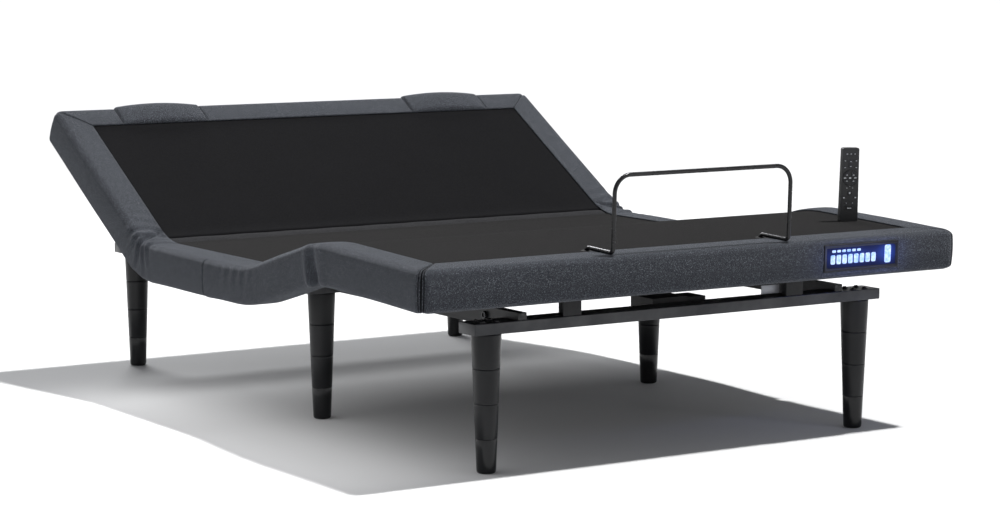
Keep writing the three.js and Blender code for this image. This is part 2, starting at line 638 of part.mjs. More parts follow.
// ---- Linear actuators ------------------------------------------------------------------------------
// A motor unit on trunnions whose rod ends in a slotted eye round a crank pin. The slot takes up the
// pin's arc: it is as tall as the arc is deep. The unit lies along the line from pivot to pin.
function addActuator(name, side, pivotY, pivotZ, hingeY, crank, halfFold, restAngle) {
  const arc = crank * (1 - Math.cos(radians(halfFold)));
  const lean = radians(restAngle) - radians(halfFold);
  const towards = Math.sign(hingeY - pivotY);
  const pin = [hingeY + towards * crank * Math.sin(lean), axisZ - crank * Math.cos(lean)];
  const middle = axisZ - crank + arc / 2;
  const span = Math.hypot(pin[0] - pivotY, middle - pivotZ);
  const group = new THREE.Group();
  group.position.set(side * ACTUATOR.x, pivotY, pivotZ);
  group.rotation.x = Math.atan2(middle - pivotZ, pin[0] - pivotY);
  root.add(group);

  const stroke = 2 * crank * Math.sin(radians(halfFold));
  const a = ACTUATOR;
  const tubeEnd = span - stroke - a.tubeShort;
  const rodStart = tubeEnd - stroke - a.rodInside;
  const drumX = side < 0 ? [-a.half - a.drumLength, -a.half + 1] : [a.half - 1, a.half + a.drumLength];
  const shell = join(
    block(-a.half, a.half, -a.back, a.front, -a.rise, a.rise),
    cylinderX(a.trunnion, -a.lugGap - a.lug - a.trunnionEnd, a.lugGap + a.lug + a.trunnionEnd),
    cylinderX(a.drum, ...drumX, (a.front - a.back) / 2 + a.drumForward, 0, 28),
    cylinderY(a.tube, a.front - 1, tubeEnd));
  const bore = cylinderY(a.rod + RUNNING, rodStart - stroke, tubeEnd + 1);
  add(group, `${name}_actuator`, cut(shell, bore), blackPlastic);

  const slot = (r) => linkShape(span, -arc / 2 - 0.5, r, span, arc / 2 + 0.5, r);
  const eyeRadius = LEVER.pin + a.eyeWall;
  const rod = join(cylinderY(a.rod, rodStart, span - LEVER.pin - a.eyeWall / 2), prismX(slot(eyeRadius), -a.eye, a.eye));
  add(group, `${name}_actuator_rod`, cut(rod, prismX(slot(LEVER.pin + 1), -a.eye - 1, a.eye + 1)), rodSteel);
}

// ---- Assembly --------------------------------------------------------------------------------------
function sectionGroup(parent, y, z, degrees) {
  const group = new THREE.Group();
  group.position.set(0, y, z);
  group.rotation.x = radians(degrees);
  parent.add(group);
  return group;
}

addBars();
addLegs();
addRails();
addFootRests();
addControlBox();
addSeat(sectionGroup(root, seatHingeY, axisZ, 0));
addHead(sectionGroup(root, headHingeY, axisZ, HEAD_REST));
const thighGroup = sectionGroup(root, seatHingeY, axisZ, -THIGH_REST);
addThigh(thighGroup);
addFoot(sectionGroup(thighGroup, -THIGH_LENGTH, 0, THIGH_REST * KNEE_RATIO));
addActuator("head", -1, MID_BAR.y, headPivotZ, headHingeY, HEAD_LEVER, headFold, HEAD_REST);
addActuator("leg", 1, legPivotY, legPivotZ, seatHingeY, THIGH_LEVER, thighFold, THIGH_REST);

// The origin is on the floor under the middle of the object's box.
const middle = new THREE.Box3().setFromObject(root, true).getCenter(new THREE.Vector3());
root.position.set(0, -middle.y, 0);

const part = new THREE.Group();
part.add(root);

export default part;
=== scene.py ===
"""Looks of the adjustable bed base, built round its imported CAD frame. Metres, in the row frame."""

import json
import math

import bmesh
import bpy
import numpy as np
from mathutils import Matrix, Vector


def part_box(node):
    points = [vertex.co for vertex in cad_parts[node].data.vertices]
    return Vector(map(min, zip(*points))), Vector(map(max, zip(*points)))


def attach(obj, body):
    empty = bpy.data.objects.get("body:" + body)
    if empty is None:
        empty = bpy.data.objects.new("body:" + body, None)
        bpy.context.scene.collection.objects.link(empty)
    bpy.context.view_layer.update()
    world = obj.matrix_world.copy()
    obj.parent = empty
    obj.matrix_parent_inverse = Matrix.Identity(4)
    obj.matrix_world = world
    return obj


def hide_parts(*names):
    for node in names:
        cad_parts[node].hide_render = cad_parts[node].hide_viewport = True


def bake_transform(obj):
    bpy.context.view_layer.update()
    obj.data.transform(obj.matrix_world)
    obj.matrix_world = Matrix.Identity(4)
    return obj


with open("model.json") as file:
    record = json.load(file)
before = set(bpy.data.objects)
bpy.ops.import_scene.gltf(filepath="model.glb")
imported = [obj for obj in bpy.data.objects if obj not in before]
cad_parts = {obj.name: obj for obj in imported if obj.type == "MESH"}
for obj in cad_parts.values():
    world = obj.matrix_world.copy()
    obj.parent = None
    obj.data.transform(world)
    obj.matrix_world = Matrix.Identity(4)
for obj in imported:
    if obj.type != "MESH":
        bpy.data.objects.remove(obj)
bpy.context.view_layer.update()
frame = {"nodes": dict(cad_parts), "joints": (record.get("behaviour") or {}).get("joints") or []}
nodes = frame["nodes"]
joints = {j["name"]: j for j in frame["joints"]}
SIDES = (("left", -1), ("right", 1))
ROWS = ("foot", "mid", "head")


def new_object(name, data):
    obj = bpy.data.objects.new(name, data)
    bpy.context.scene.collection.objects.link(obj)
    return obj


# ---- Camera, lights and floor ----

CAMERA = {"place": (-3.8464, -6.0752, 1.2267), "azimuth": -32.8283, "elevation": 6.8599, "roll": 0.0364,
          "lens": 100.627, "sensor": 36.0, "clip": (0.05, 100)}
FLOOR_REACH = 60
# Name, kind, energy, place, target, size, second size, colour. A sun's size is its angle in degrees.
LIGHTS = (
    ("overhead", "SUN", 4.6, (1.9, -0.5, 6), (0, 0, 0), 3),
    ("back_top", "AREA", 150, (0.6, 4.6, 3.6), (0, -0.8, 0.4), 2.6, 1.2, (0.98, 0.99, 1)),
    ("front_left", "AREA", 4, (-4.5, -3.5, 2.2), (-0.3, 0, 0.35), 2.4, 1.6, (0.95, 0.97, 1)),
    ("front_right", "AREA", 12, (2.6, -5.2, 1.4), (0.3, -0.6, 0.3), 0.7, 2.2, (0.97, 0.98, 1)),
    ("left_strip", "AREA", 3, (-5.2, 1.0, 1.5), (-0.5, 0, 0.3), 0.6, 2.2, (0.97, 0.98, 1)),
    ("below_left", "AREA", 2.1, (-0.82, -0.2, 0.25), (-0.82, -0.2, 0.0), 0.4, 1.6),
)


def make_camera():
    """The camera as it was fitted to the photograph."""
    data = bpy.data.cameras.new("camera")
    data.lens, data.sensor_width = CAMERA["lens"], CAMERA["sensor"]
    data.clip_start, data.clip_end = CAMERA["clip"]
    camera = new_object("camera", data)
    a, e, r = (math.radians(CAMERA[key]) for key in ("azimuth", "elevation", "roll"))
    back = Vector((math.sin(a) * math.cos(e), -math.cos(a) * math.cos(e), math.sin(e)))
    right = Vector((0, 0, 1)).cross(back).normalized()
    up = back.cross(right)
    turned = right * math.cos(r) + up * math.sin(r)
    upright = up * math.cos(r) - right * math.sin(r)
    matrix = Matrix((turned, upright, back)).transposed().to_4x4()
    matrix.translation = CAMERA["place"]
    camera.matrix_world = matrix
    bpy.context.scene.camera = camera


def make_light(name, kind, energy, place, target, size, size_y=1.0, color=(1, 1, 1)):
    data = bpy.data.lights.new(name, kind)
    data.energy, data.color = energy, color
    if kind == "AREA":
        data.shape, data.size, data.size_y = "RECTANGLE", size, size_y
    else:
        data.angle = math.radians(size)
    light = new_object(name, data)
    light.location = place
    light.rotation_euler = (Vector(target) - Vector(place)).to_track_quat("-Z", "Y").to_euler()
    return light


def make_stage():
    """Studio world, pale floor and lights. The world is light low down, where the photo's ground is."""
    world = bpy.data.worlds.new("studio")
    bpy.context.scene.world = world
    world.use_nodes = True
    n = Nodes(world, "Background")
    sky = n.add("ShaderNodeSeparateXYZ", {0: n.coordinates("Generated")})
    n.finish({"Color": n.ramp(sky.outputs["Z"], [(0.10, (1.02, 1.02, 1.02)), (0.2, (0.22, 0.225, 0.24))])})
    new_material("studio_floor").finish(
        {"Base Color": (0.66, 0.66, 0.66), "Roughness": 0.7, "Specular IOR Level": 0.1})
    mesh = bpy.data.meshes.new("floor")
    outline = [(x * FLOOR_REACH, y * FLOOR_REACH, 0) for x, y in ((-1, -1), (1, -1), (1, 1), (-1, 1))]
    mesh.from_pydata(outline, [], [(0, 1, 2, 3)])
    mesh.materials.append(bpy.data.materials["studio_floor"])
    new_object("floor", mesh)
    for light in LIGHTS:
        make_light(*light)
    bpy.context.scene.view_settings.view_transform = "Standard"


# ---- Materials ----


class Nodes:
    """Short calls for building one node tree, up to its last node. Colours are given without alpha."""

    def __init__(self, owner, last):
        self.tree = owner.node_tree
        self.last = self.tree.nodes[last]

    def plug(self, value, socket):
        """Links another node's output to the socket, or sets a constant on it."""
        if isinstance(value, bpy.types.NodeSocket):
            self.tree.links.new(value, socket)
        else:
            socket.default_value = (*value, 1) if isinstance(value, (tuple, list)) else value

    def finish(self, inputs):
        for key, value in inputs.items():
            self.plug(value, self.last.inputs[key])

    def add(self, kind, inputs=None, **settings):
        node = self.tree.nodes.new(kind)
        for key, value in settings.items():
            setattr(node, key, value)
        for key, value in (inputs or {}).items():
            self.plug(value, node.inputs[key])
        return node

    def coordinates(self, kind):
        return self.add("ShaderNodeTexCoord").outputs[kind]

    def cloth_axes(self):
        """The piece's own cloth coordinates, along it and across it."""
        cloth = self.add("ShaderNodeUVMap", uv_map="cloth").outputs["UV"]
        split = self.add("ShaderNodeSeparateXYZ", {0: cloth})
        return split.outputs["X"], split.outputs["Y"]

    def math(self, operation, a, b=0.0):
        return self.add("ShaderNodeMath", {0: a, 1: b}, operation=operation).outputs[0]

    def ramp(self, factor, stops):
        node = self.add("ShaderNodeValToRGB", {"Fac": factor})
        ramp = node.color_ramp
        while len(ramp.elements) < len(stops):
            ramp.elements.new(0.5)
        for element, (place, color) in zip(ramp.elements, stops):
            element.position = place
            element.color = (*color, 1)
        return node.outputs["Color"]

    def rise(self, factor, start, end, top=1):
        """From black at start to a grey of top at end."""
        return self.ramp(factor, [(start, (0, 0, 0)), (end, (top, top, top))])

    def noise(self, vector, scale, detail=2.0, roughness=0.5):
        inputs = {"Vector": vector, "Scale": scale, "Detail": detail, "Roughness": roughness}
        return self.add("ShaderNodeTexNoise", inputs).outputs["Fac"]

    def mix(self, factor, a, b):
        node = self.add("ShaderNodeMix", data_type="RGBA")
        for index, value in ((0, factor), (6, a), (7, b)):
            self.plug(value, node.inputs[index])
        return node.outputs[2]

    def bump(self, height, strength, distance):
        inputs = {"Height": height, "Strength": strength, "Distance": distance}
        return self.add("ShaderNodeBump", inputs).outputs["Normal"]


def new_material(name):
    material = bpy.data.materials.new(name)
    material.use_nodes = True
    return Nodes(material, "Principled BSDF")


def woven_fabric(name, base, fleck, dark, pitch, bump, fleck_from, sheen, gloss=0.15):
    """A plain weave over the piece's own cloth coordinates, with heathered yarn."""
    n = new_material(name)
    place = n.coordinates("Object")
    wobble = n.math("MULTIPLY", n.noise(place, 300.0), 1.4)
    warp, weft = (n.math("SINE", n.math("ADD", n.math("MULTIPLY", axis, 2 * math.pi / pitch), wobble))
                  for axis in n.cloth_axes())
    height = n.math("ADD", n.math("MULTIPLY", n.math("MULTIPLY", warp, weft), 0.5), 0.5)
    yarn = n.noise(place, 620.0, 3.0, 0.75)
    heather = n.noise(place, 260.0, 4.0, 0.8)
    broad = n.noise(place, 5.0, 3.0, 0.5)
    color = n.mix(n.rise(heather, 0.35, 0.62), dark, base)
    color = n.mix(n.rise(yarn, fleck_from, fleck_from + 0.1), color, fleck)
    # The weave's hollows are painted darker: painted shade where the yarns dip under each other.
    color = n.mix(n.math("MULTIPLY", n.math("SUBTRACT", 1.0, height), 0.45), color, dark)
    relief = n.math("ADD", height, n.math("MULTIPLY", yarn, 0.8))
    n.finish({"Base Color": n.mix(n.rise(broad, 0.3, 0.8, 0.22), color, base),
              "Roughness": n.add("ShaderNodeMapRange", {0: yarn, 3: 0.85, 4: 0.95}).outputs[0],
              "Normal": n.bump(relief, bump, 0.0008), "Specular IOR Level": gloss,
              "Sheen Weight": sheen, "Sheen Roughness": 0.45,
              "Sheen Tint": [min(1, 4.5 * c + 0.25) for c in base]})


def painted(name, color, roughness, metallic=0.0, grain=900.0, bump=0.12, wear_and_highlight=0.02, specular=0.4):
    """Paint or moulded plastic: fine grain, soft uneven gloss, and edges a little lighter, part rubbed wear
    and part painted highlight.
    """
    n = new_material(name)
    place = n.coordinates("Object")
    fine = n.noise(place, grain, 2.0, 0.6)
    broad = n.noise(place, 9.0, 4.0, 0.6)
    edge = n.rise(n.add("ShaderNodeNewGeometry").outputs["Pointiness"], 0.51, 0.58)
    # Pointed edges are painted lighter: partly rubbed wear, partly a painted highlight where light would
    # catch them.
    worn_and_lit = n.math("MULTIPLY", edge, n.rise(broad, 0.35, 0.75))
    tint = n.mix(n.math("MULTIPLY", broad, 0.35), color, [c * 0.75 for c in color])
    gloss = {0: broad, 1: 0.3, 2: 0.7, 3: roughness * 0.85, 4: roughness * 1.2}
    n.finish({"Base Color": n.mix(worn_and_lit, tint, [min(1, c + wear_and_highlight) for c in color]),
              "Roughness": n.add("ShaderNodeMapRange", gloss).outputs[0],
              "Metallic": metallic, "Specular IOR Level": specular, "Normal": n.bump(fine, bump, 0.0003)})


def make_materials():
    woven_fabric("rail_cloth", (0.038, 0.042, 0.0505), (0.30, 0.32, 0.36), (0.011, 0.0125, 0.016),
                 0.0022, 0.6, 0.56, 0.32)
    # The head deck's cloth is the deck cloth painted darker: painted shade of the tilted head deck, not a
    # darker cloth.
    woven_fabric("head_cloth", (0.0112, 0.0112, 0.0122), (0.019, 0.019, 0.019), (0.006, 0.006, 0.0065),
                 0.0016, 0.2, 0.68, 0.0, 0.03)
    woven_fabric("deck_cloth", (0.0215, 0.0208, 0.021), (0.05, 0.049, 0.049), (0.0115, 0.0112, 0.0112),
                 0.0016, 0.3, 0.62, 0.0, 0.03)
    woven_fabric("strip_cloth", (0.034, 0.034, 0.036), (0.08, 0.08, 0.084), (0.014, 0.014, 0.015),
                 0.0016, 0.4, 0.6, 0.0, 0.05)
    # Seam thread, coloured near black as painted shade of the seam grooves it lies in.
    painted("thread", (0.002, 0.0022, 0.003), 0.8, grain=2500.0, bump=0.4, wear_and_highlight=0.004, specular=0.1)
    painted("bar_paint", (0.011, 0.0122, 0.0155), 0.34, 0.1, wear_and_highlight=0.05, specular=0.35)
    painted("section_paint", (0.006, 0.0063, 0.0075), 0.42, 0.2, wear_and_highlight=0.03, specular=0.25)
    painted("leg_satin", (0.004, 0.0044, 0.0056), 0.34, grain=1400.0, bump=0.1, specular=0.26)
    painted("leg_gloss", (0.0035, 0.0038, 0.0048), 0.2, grain=500.0, bump=0.03, specular=0.3)
    painted("plastic", (0.005, 0.005, 0.006), 0.42, bump=0.35, specular=0.25)
    painted("remote_shell", (0.011, 0.0115, 0.0135), 0.36, grain=1800.0, bump=0.2)
    painted("key_rubber", (0.075, 0.079, 0.088), 0.3, grain=2500.0, bump=0.1, specular=0.7)
    painted("key_dark", (0.005, 0.005, 0.006), 0.3, grain=2500.0, bump=0.1)
    painted("mark_print", (0.85, 0.88, 0.92), 0.6, bump=0.05)
    painted("wire_paint", (0.006, 0.006, 0.007), 0.26, 0.2, wear_and_highlight=0.06)
    painted("zinc", (0.5, 0.5, 0.52), 0.3, 0.95, grain=400.0, bump=0.15, wear_and_highlight=0.1)
    painted("bolt_black", (0.012, 0.0125, 0.015), 0.28, 0.6, wear_and_highlight=0.12)
    painted("bracket_grey", (0.3, 0.31, 0.34), 0.45, 0.4, wear_and_highlight=0.1)
    painted("rubber_pad", (0.01, 0.01, 0.01), 0.8, grain=700.0, bump=0.5)
    make_glow()


def make_glow():
    """The light panel: white-blue marks on a smoked lens, and the halo that they throw on it."""
    n = new_material("glow_mark")
    patchy = n.noise(n.coordinates("Object"), 130.0)
    n.finish({"Emission Color": n.ramp(patchy, [(0.3, (0.30, 0.55, 1.0)), (0.7, (0.80, 0.93, 1.0))]),
              "Emission Strength": 1.0, "Base Color": (0.05, 0.08, 0.2), "Specular IOR Level": 0.05})
    n = new_material("smoked_lens")
    across, down = n.cloth_axes()
    halo = None
    for u, v, wide, tall in PANEL_GLOWS:
        a, b = (n.math("POWER", n.math("DIVIDE", n.math("SUBTRACT", axis, middle), reach), 2.0)
                for axis, middle, reach in ((across, u, wide), (down, v, tall)))
        fade = n.math("EXPONENT", n.math("MULTIPLY", n.math("ADD", a, b), -1.0))
        halo = fade if halo is None else n.math("ADD", halo, fade)
    blue = [(0.0, (0.001, 0.001, 0.003)), (0.5, (0.006, 0.014, 0.10)), (1.0, (0.016, 0.045, 0.30))]
    n.finish({"Emission Color": n.ramp(halo, blue), "Emission Strength": 1.0,
              "Base Color": (0.004, 0.004, 0.006), "Roughness": 0.6, "Specular IOR Level": 0.06})


# ---- Mesh helpers ----


def grid_faces(rows, cols, closed=False):
    """Faces over a grid of points that are numbered row by row; closed joins each row's ends."""
    return [(i * cols + j, i * cols + (j + 1) % cols, (i + 1) * cols + (j + 1) % cols, (i + 1) * cols + j)
            for i in range(rows - 1) for j in range(cols if closed else cols - 1)]


def flipped(face, on=0):
    """The same face seen from the other side, its numbers raised by on."""
    return tuple(on + face[i] for i in (0, 3, 2, 1))


def link_mesh(name, vertices, faces, material, uv):
    """A new smooth object from plain lists. uv gives each vertex's cloth coordinates."""
    mesh = bpy.data.meshes.new(name)
    mesh.from_pydata([tuple(v) for v in vertices], [], faces)
    mesh.materials.append(bpy.data.materials[material])
    mesh.polygons.foreach_set("use_smooth", np.full(len(faces), True))
    layer = mesh.uv_layers.new(name="cloth")
    corners = np.zeros(len(mesh.loops), np.int32)
    mesh.loops.foreach_get("vertex_index", corners)
    layer.data.foreach_set("uv", np.asarray(uv, np.float32)[corners].ravel())
    mesh.update()
    return new_object(name, mesh)


def add_piece(bm, name, material, body, smooth=True, sharp=35, replaces=()):
    """A rigid piece from a bmesh, on its body and with its material. sharp is in degrees."""
    mesh = bpy.data.meshes.new(name)
    bmesh.ops.recalc_face_normals(bm, faces=bm.faces)
    bm.to_mesh(mesh)
    bm.free()
    mesh.materials.append(bpy.data.materials[material])
    mesh.polygons.foreach_set("use_smooth", np.full(len(mesh.polygons), smooth))
    if smooth:
        mesh.set_sharp_from_angle(angle=math.radians(sharp))
    obj = new_object(name, mesh)
    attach(obj, body)
    if replaces:
        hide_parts(*replaces)


def axes(forward):
    """A rotation whose Z is forward and whose X is as near the frame's X as it can be, or else its Y."""
    z = Vector(forward).normalized()
    x = Vector((1, 0, 0) if abs(z.x) < 0.9 else (0, 1, 0))
    x = (x - z * x.dot(z)).normalized()
    return Matrix((x, z.cross(x), z)).transposed()


def lathe(bm, profile, place, axis, sides=40):
    """Turns (radius, height) points about an axis that starts at place. Closed where a radius is 0."""
    turn, place = axes(axis), Vector(place)
    circle = [(math.cos(2 * math.pi * i / sides), math.sin(2 * math.pi * i / sides)) for i in range(sides)]
    rings = [[bm.verts.new(place + turn @ Vector((radius * x, radius * y, height)))
              for x, y in (circle if radius else circle[:1])] for radius, height in profile]
    for a, b in zip(rings, rings[1:]):
        for i in range(sides):
            k = (i + 1) % sides
            corners = [a[i % len(a)], a[k % len(a)], b[k % len(b)], b[i % len(b)]]
            bm.faces.new(list(dict.fromkeys(corners)))


def rounded_box(bm, lo, hi, radius, segments=2):
    lo, hi = Vector(lo), Vector(hi)
    made = bmesh.ops.create_cube(bm, size=1)["verts"]
    for v in made:
        v.co = (lo + hi) / 2 + Vector([(hi - lo)[i] * v.co[i] for i in range(3)])
    edges = {e for v in made for e in v.link_edges}
    bmesh.ops.bevel(bm, geom=list(edges), offset=radius, segments=segments, affect="EDGES", profile=0.5)


def tube(bm, points, radius, sides):
    """A round closed tube through the points, with its ring turned as little as it can be on the way."""
    points = [Vector(p) for p in points]
    rings, x = [], None
    for i, p in enumerate(points):
        along = (points[min(i + 1, len(points) - 1)] - points[max(i - 1, 0)]).normalized()
        x = axes(along).col[0] if x is None else (x - along * x.dot(along)).normalized()
        y = along.cross(x)
        rings.append([bm.verts.new(p + radius * (x * math.cos(a) + y * math.sin(a)))
                      for a in (2 * math.pi * k / sides for k in range(sides))])
    for a, b in zip(rings, rings[1:]):
        for i in range(sides):
            bm.faces.new((a[i], a[(i + 1) % sides], b[(i + 1) % sides], b[i]))
    bm.faces.new(list(reversed(rings[0])))
    bm.faces.new(rings[-1])


# ---- The line that the upholstery follows ----
# s runs along the hinge line from the seat hinge, positive to the head and negative to the foot;
# h is the height above that line, square to it.

SEAT_HINGE = Vector(joints["thigh_lift"]["pos_m"])
HEAD_HINGE = Vector(joints["head_lift"]["pos_m"])
KNEE_HINGE = Vector(joints["knee_fold"]["pos_m"])
SEAT_LENGTH = (HEAD_HINGE - SEAT_HINGE).length
THIGH_LENGTH = (KNEE_HINGE - SEAT_HINGE).length
HEAD_LENGTH, FOOT_LENGTH = 0.628, 0.476
HEAD_ANGLE = -math.radians(joints["head_lift"]["range_deg"][0])
THIGH_ANGLE = math.radians(joints["thigh_lift"]["range_deg"][0])
FOOT_ANGLE = THIGH_ANGLE - math.radians(joints["knee_fold"]["range_deg"][0])

S_TIP_FOOT, S_KNEE = -THIGH_LENGTH - FOOT_LENGTH, -THIGH_LENGTH
S_HEAD, S_TIP_HEAD = SEAT_LENGTH, SEAT_LENGTH + HEAD_LENGTH
HALF_WIDTH = -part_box("left_seat_bolster")[0].x
TOP, BOTTOM = 0.0343, -0.0627
DECK_TOP, DECK_BOTTOM = 0.0303, 0.0123
BAND = 0.082  # the cloth's width on top of a rail
CORE = 0.066  # the foam's width under it
FOOT_UP = Vector((0, -math.sin(FOOT_ANGLE), math.cos(FOOT_ANGLE)))

# Place of the fold on s, its hinge, how far the rounding reaches to each side, angles before and after.
FOLDS = (
    (S_KNEE, KNEE_HINGE, 0.062, FOOT_ANGLE, THIGH_ANGLE),
    (0.0, SEAT_HINGE, 0.07, THIGH_ANGLE, 0.0),
    (S_HEAD, HEAD_HINGE, 0.07, 0.0, HEAD_ANGLE),
)
# Stations beside a seam, the least distance between two stations, and the usual ones along the rails.
BESIDE_SEAM = (0, 0.0012, 0.0025, 0.004, 0.0065, 0.01)
LEAST_STEP, SIDE_STEP, END_STEP = 0.0008, 0.0055, 0.008


def path(s):
    """(y, z, angle) of the hinge line at s, with its folds rounded."""
    s = np.asarray(s, float)
    y, z, angle = SEAT_HINGE.y + s, np.full(s.shape, SEAT_HINGE.z), np.zeros(s.shape)
    for part, hinge, start, slope in ((s > S_HEAD, HEAD_HINGE, S_HEAD, HEAD_ANGLE),
                                      (s < 0, SEAT_HINGE, 0.0, THIGH_ANGLE),
                                      (s < S_KNEE, KNEE_HINGE, S_KNEE, FOOT_ANGLE)):
        y[part] = hinge.y + (s[part] - start) * math.cos(slope)
        z[part] = hinge.z + (s[part] - start) * math.sin(slope)
        angle[part] = slope
    for fold, hinge, reach, a0, a1 in FOLDS:
        near = np.abs(s - fold) < reach
        radius = reach / math.tan((a1 - a0) / 2)
        a = a0 + (a1 - a0) * (s[near] - fold + reach) / (2 * reach)
        y[near] = hinge.y - reach * math.cos(a0) + radius * (np.sin(a) - math.sin(a0))
        z[near] = hinge.z - reach * math.sin(a0) + radius * (math.cos(a0) - np.cos(a))
        angle[near] = a
    return y, z, angle


def place(x, s, h):
    """Points of the row frame from arrays of x, s and h."""
    y, z, angle = path(s)
    return np.stack([x, y - h * np.sin(angle), z + h * np.cos(angle)], -1)


def point(x, s, h):
    return Vector(place(*np.array([[x], [s], [h]]))[0])


def steps(a, b, pitch, seams=()):
    """Stations from a to b about a pitch apart, and closer beside the seams."""
    marks = set(np.linspace(a, b, max(2, round(abs(b - a) / pitch) + 1)))
    marks |= {seam + way * d for seam in seams for d in BESIDE_SEAM for way in (-1, 1)}
    inside = sorted(m for m in marks if min(a, b) <= m <= max(a, b))
    kept = [inside[0]]
    for m in inside[1:]:
        if m - kept[-1] > LEAST_STEP:
            kept.append(m)
    kept[-1] = max(a, b)
    return kept if a < b else kept[::-1]


def distances(points):
    """How far along their line each of the points is."""
    return np.concatenate([[0], np.cumsum(np.linalg.norm(np.diff(points, axis=0), axis=1))])


# ---- Upholstered rails ----

SEAM_S = 0.226  # the side rails' seat seam
HEAD_RADIUS, FOOT_RADIUS = 0.02, 0.011  # of the rails' corners
LEAD = 0.11  # how far from the tip the stations start to turn into the mitre
TOPSTITCH = 0.0066  # how far beside a foot corner's seam its outer seams are
RAIL_FOLD = 0.085  # how far the side rails bend to each side of a fold
SIDE_SEAM, FOOT_SEAM, HEAD_SEAM = 0.0036, 0.0042, 0.0026  # depths
PADS = (0.331, 0.585)  # inner and outer seam of each head pad, from the middle
# Gathers at the head fold: start along s, lean, depth, width and how far down they run.
GATHERS = ((-0.052, -0.30, 0.0028, 0.010, 0.052), (-0.026, -0.12, 0.0046, 0.008, 0.066),
           (0.002, 0.06, 0.0058, 0.008, 0.074), (0.030, 0.30, 0.0050, 0.009, 0.066),
           (0.062, 0.62, 0.0036, 0.011, 0.052))


def arc(cx, cy, radius, a0, a1, count):
    angles = [math.radians(a0 + (a1 - a0) * i / count) for i in range(count + 1)]
    return [(cx + radius * math.cos(a), cy + radius * math.sin(a)) for a in angles]


def line(a, b, count):
    return [(a[0] + (b[0] - a[0]) * i / count, a[1] + (b[1] - a[1]) * i / count) for i in range(1, count)]


def rail_section():
    """The closed outline across a rail: (distance in from the outer face, h), flange first."""
    top_r, low_r, inner_r, hem_r = 0.015, 0.012, 0.006, 0.0022
    lip = DECK_TOP + 0.0006
    points = [(CORE, lip), (BAND - 0.003, lip)]
    points += arc(BAND - hem_r, lip + 0.0018, hem_r, -90, 90, 5)[1:-1]
    inner_top = (BAND - 0.006, TOP - 0.0003)
    points += [inner_top] + line(inner_top, (top_r, TOP), 9)
    points += arc(top_r, TOP - top_r, top_r, 90, 180, 7)
    points += line((0, TOP - top_r), (0, BOTTOM + low_r), 11)
    points += arc(low_r, BOTTOM + low_r, low_r, 180, 270, 5)
    points += line((low_r, BOTTOM), (CORE - inner_r, BOTTOM), 5)
    points += arc(CORE - inner_r, BOTTOM + inner_r, inner_r, 270, 360, 3)
    points += line((CORE, BOTTOM + inner_r), (CORE, lip), 7)
    return np.array(points)


def on_inner_wall(u, h):
    return (u >= CORE - 0.001) & (h <= DECK_TOP + 0.001)


SECTION = rail_section()
SECTION_LENGTH = distances(SECTION)
# The section's points from the band's inner edge over the top and down the side.
SEEN = [j for j, (u, h) in enumerate(SECTION)
        if j >= 3 and h > BOTTOM + 0.004 and u < BAND - 0.003 and not on_inner_wall(u, h)]


def outward_normals(points):
    along = np.gradient(points, axis=0)
    closed = np.concatenate([points[:, -1:], points, points[:, :1]], 1)
    around = (closed[:, 2:] - closed[:, :-2]) / 2
    normal = np.cross(around, along)
    normal /= np.maximum(np.linalg.norm(normal, axis=2, keepdims=True), 1e-12)
    outward = np.sum(normal * (points - points.mean(1, keepdims=True)), 2).mean() >= 0
    return normal if outward else -normal


def clamp(values):
    return np.clip(values, 0, 1)


def bell(x, middle, width):
    return np.exp(-(((x - middle) / width) ** 2))


def ripple(x, y, z, seed):
    """A smooth made-up unevenness between -1 and 1, the same each run."""
    return (np.sin(9.1 * x + 14.3 * y + 3.7 * z + seed) + np.sin(17.9 * y - 11.2 * z + 1.7 + 2 * seed)
            + np.sin(27.3 * z + 8.9 * x - 6.1 * y + 0.6 * seed)) / 3


def padding(u, h, crown):
    """Weights of a rail's outer face, top and hem, and how far its foam swells between its edges."""
    face = clamp(1 - u / 0.02)
    hem = clamp((0.0815 - u) / 0.004)
    top = clamp((h - TOP + 0.02) / 0.018) * hem
    swell = 0.0030 * face * np.sin(clamp((h - BOTTOM) / (TOP - BOTTOM)) * math.pi)
    return face, top, hem, swell + crown * top * np.sin(clamp(u / BAND) * math.pi)


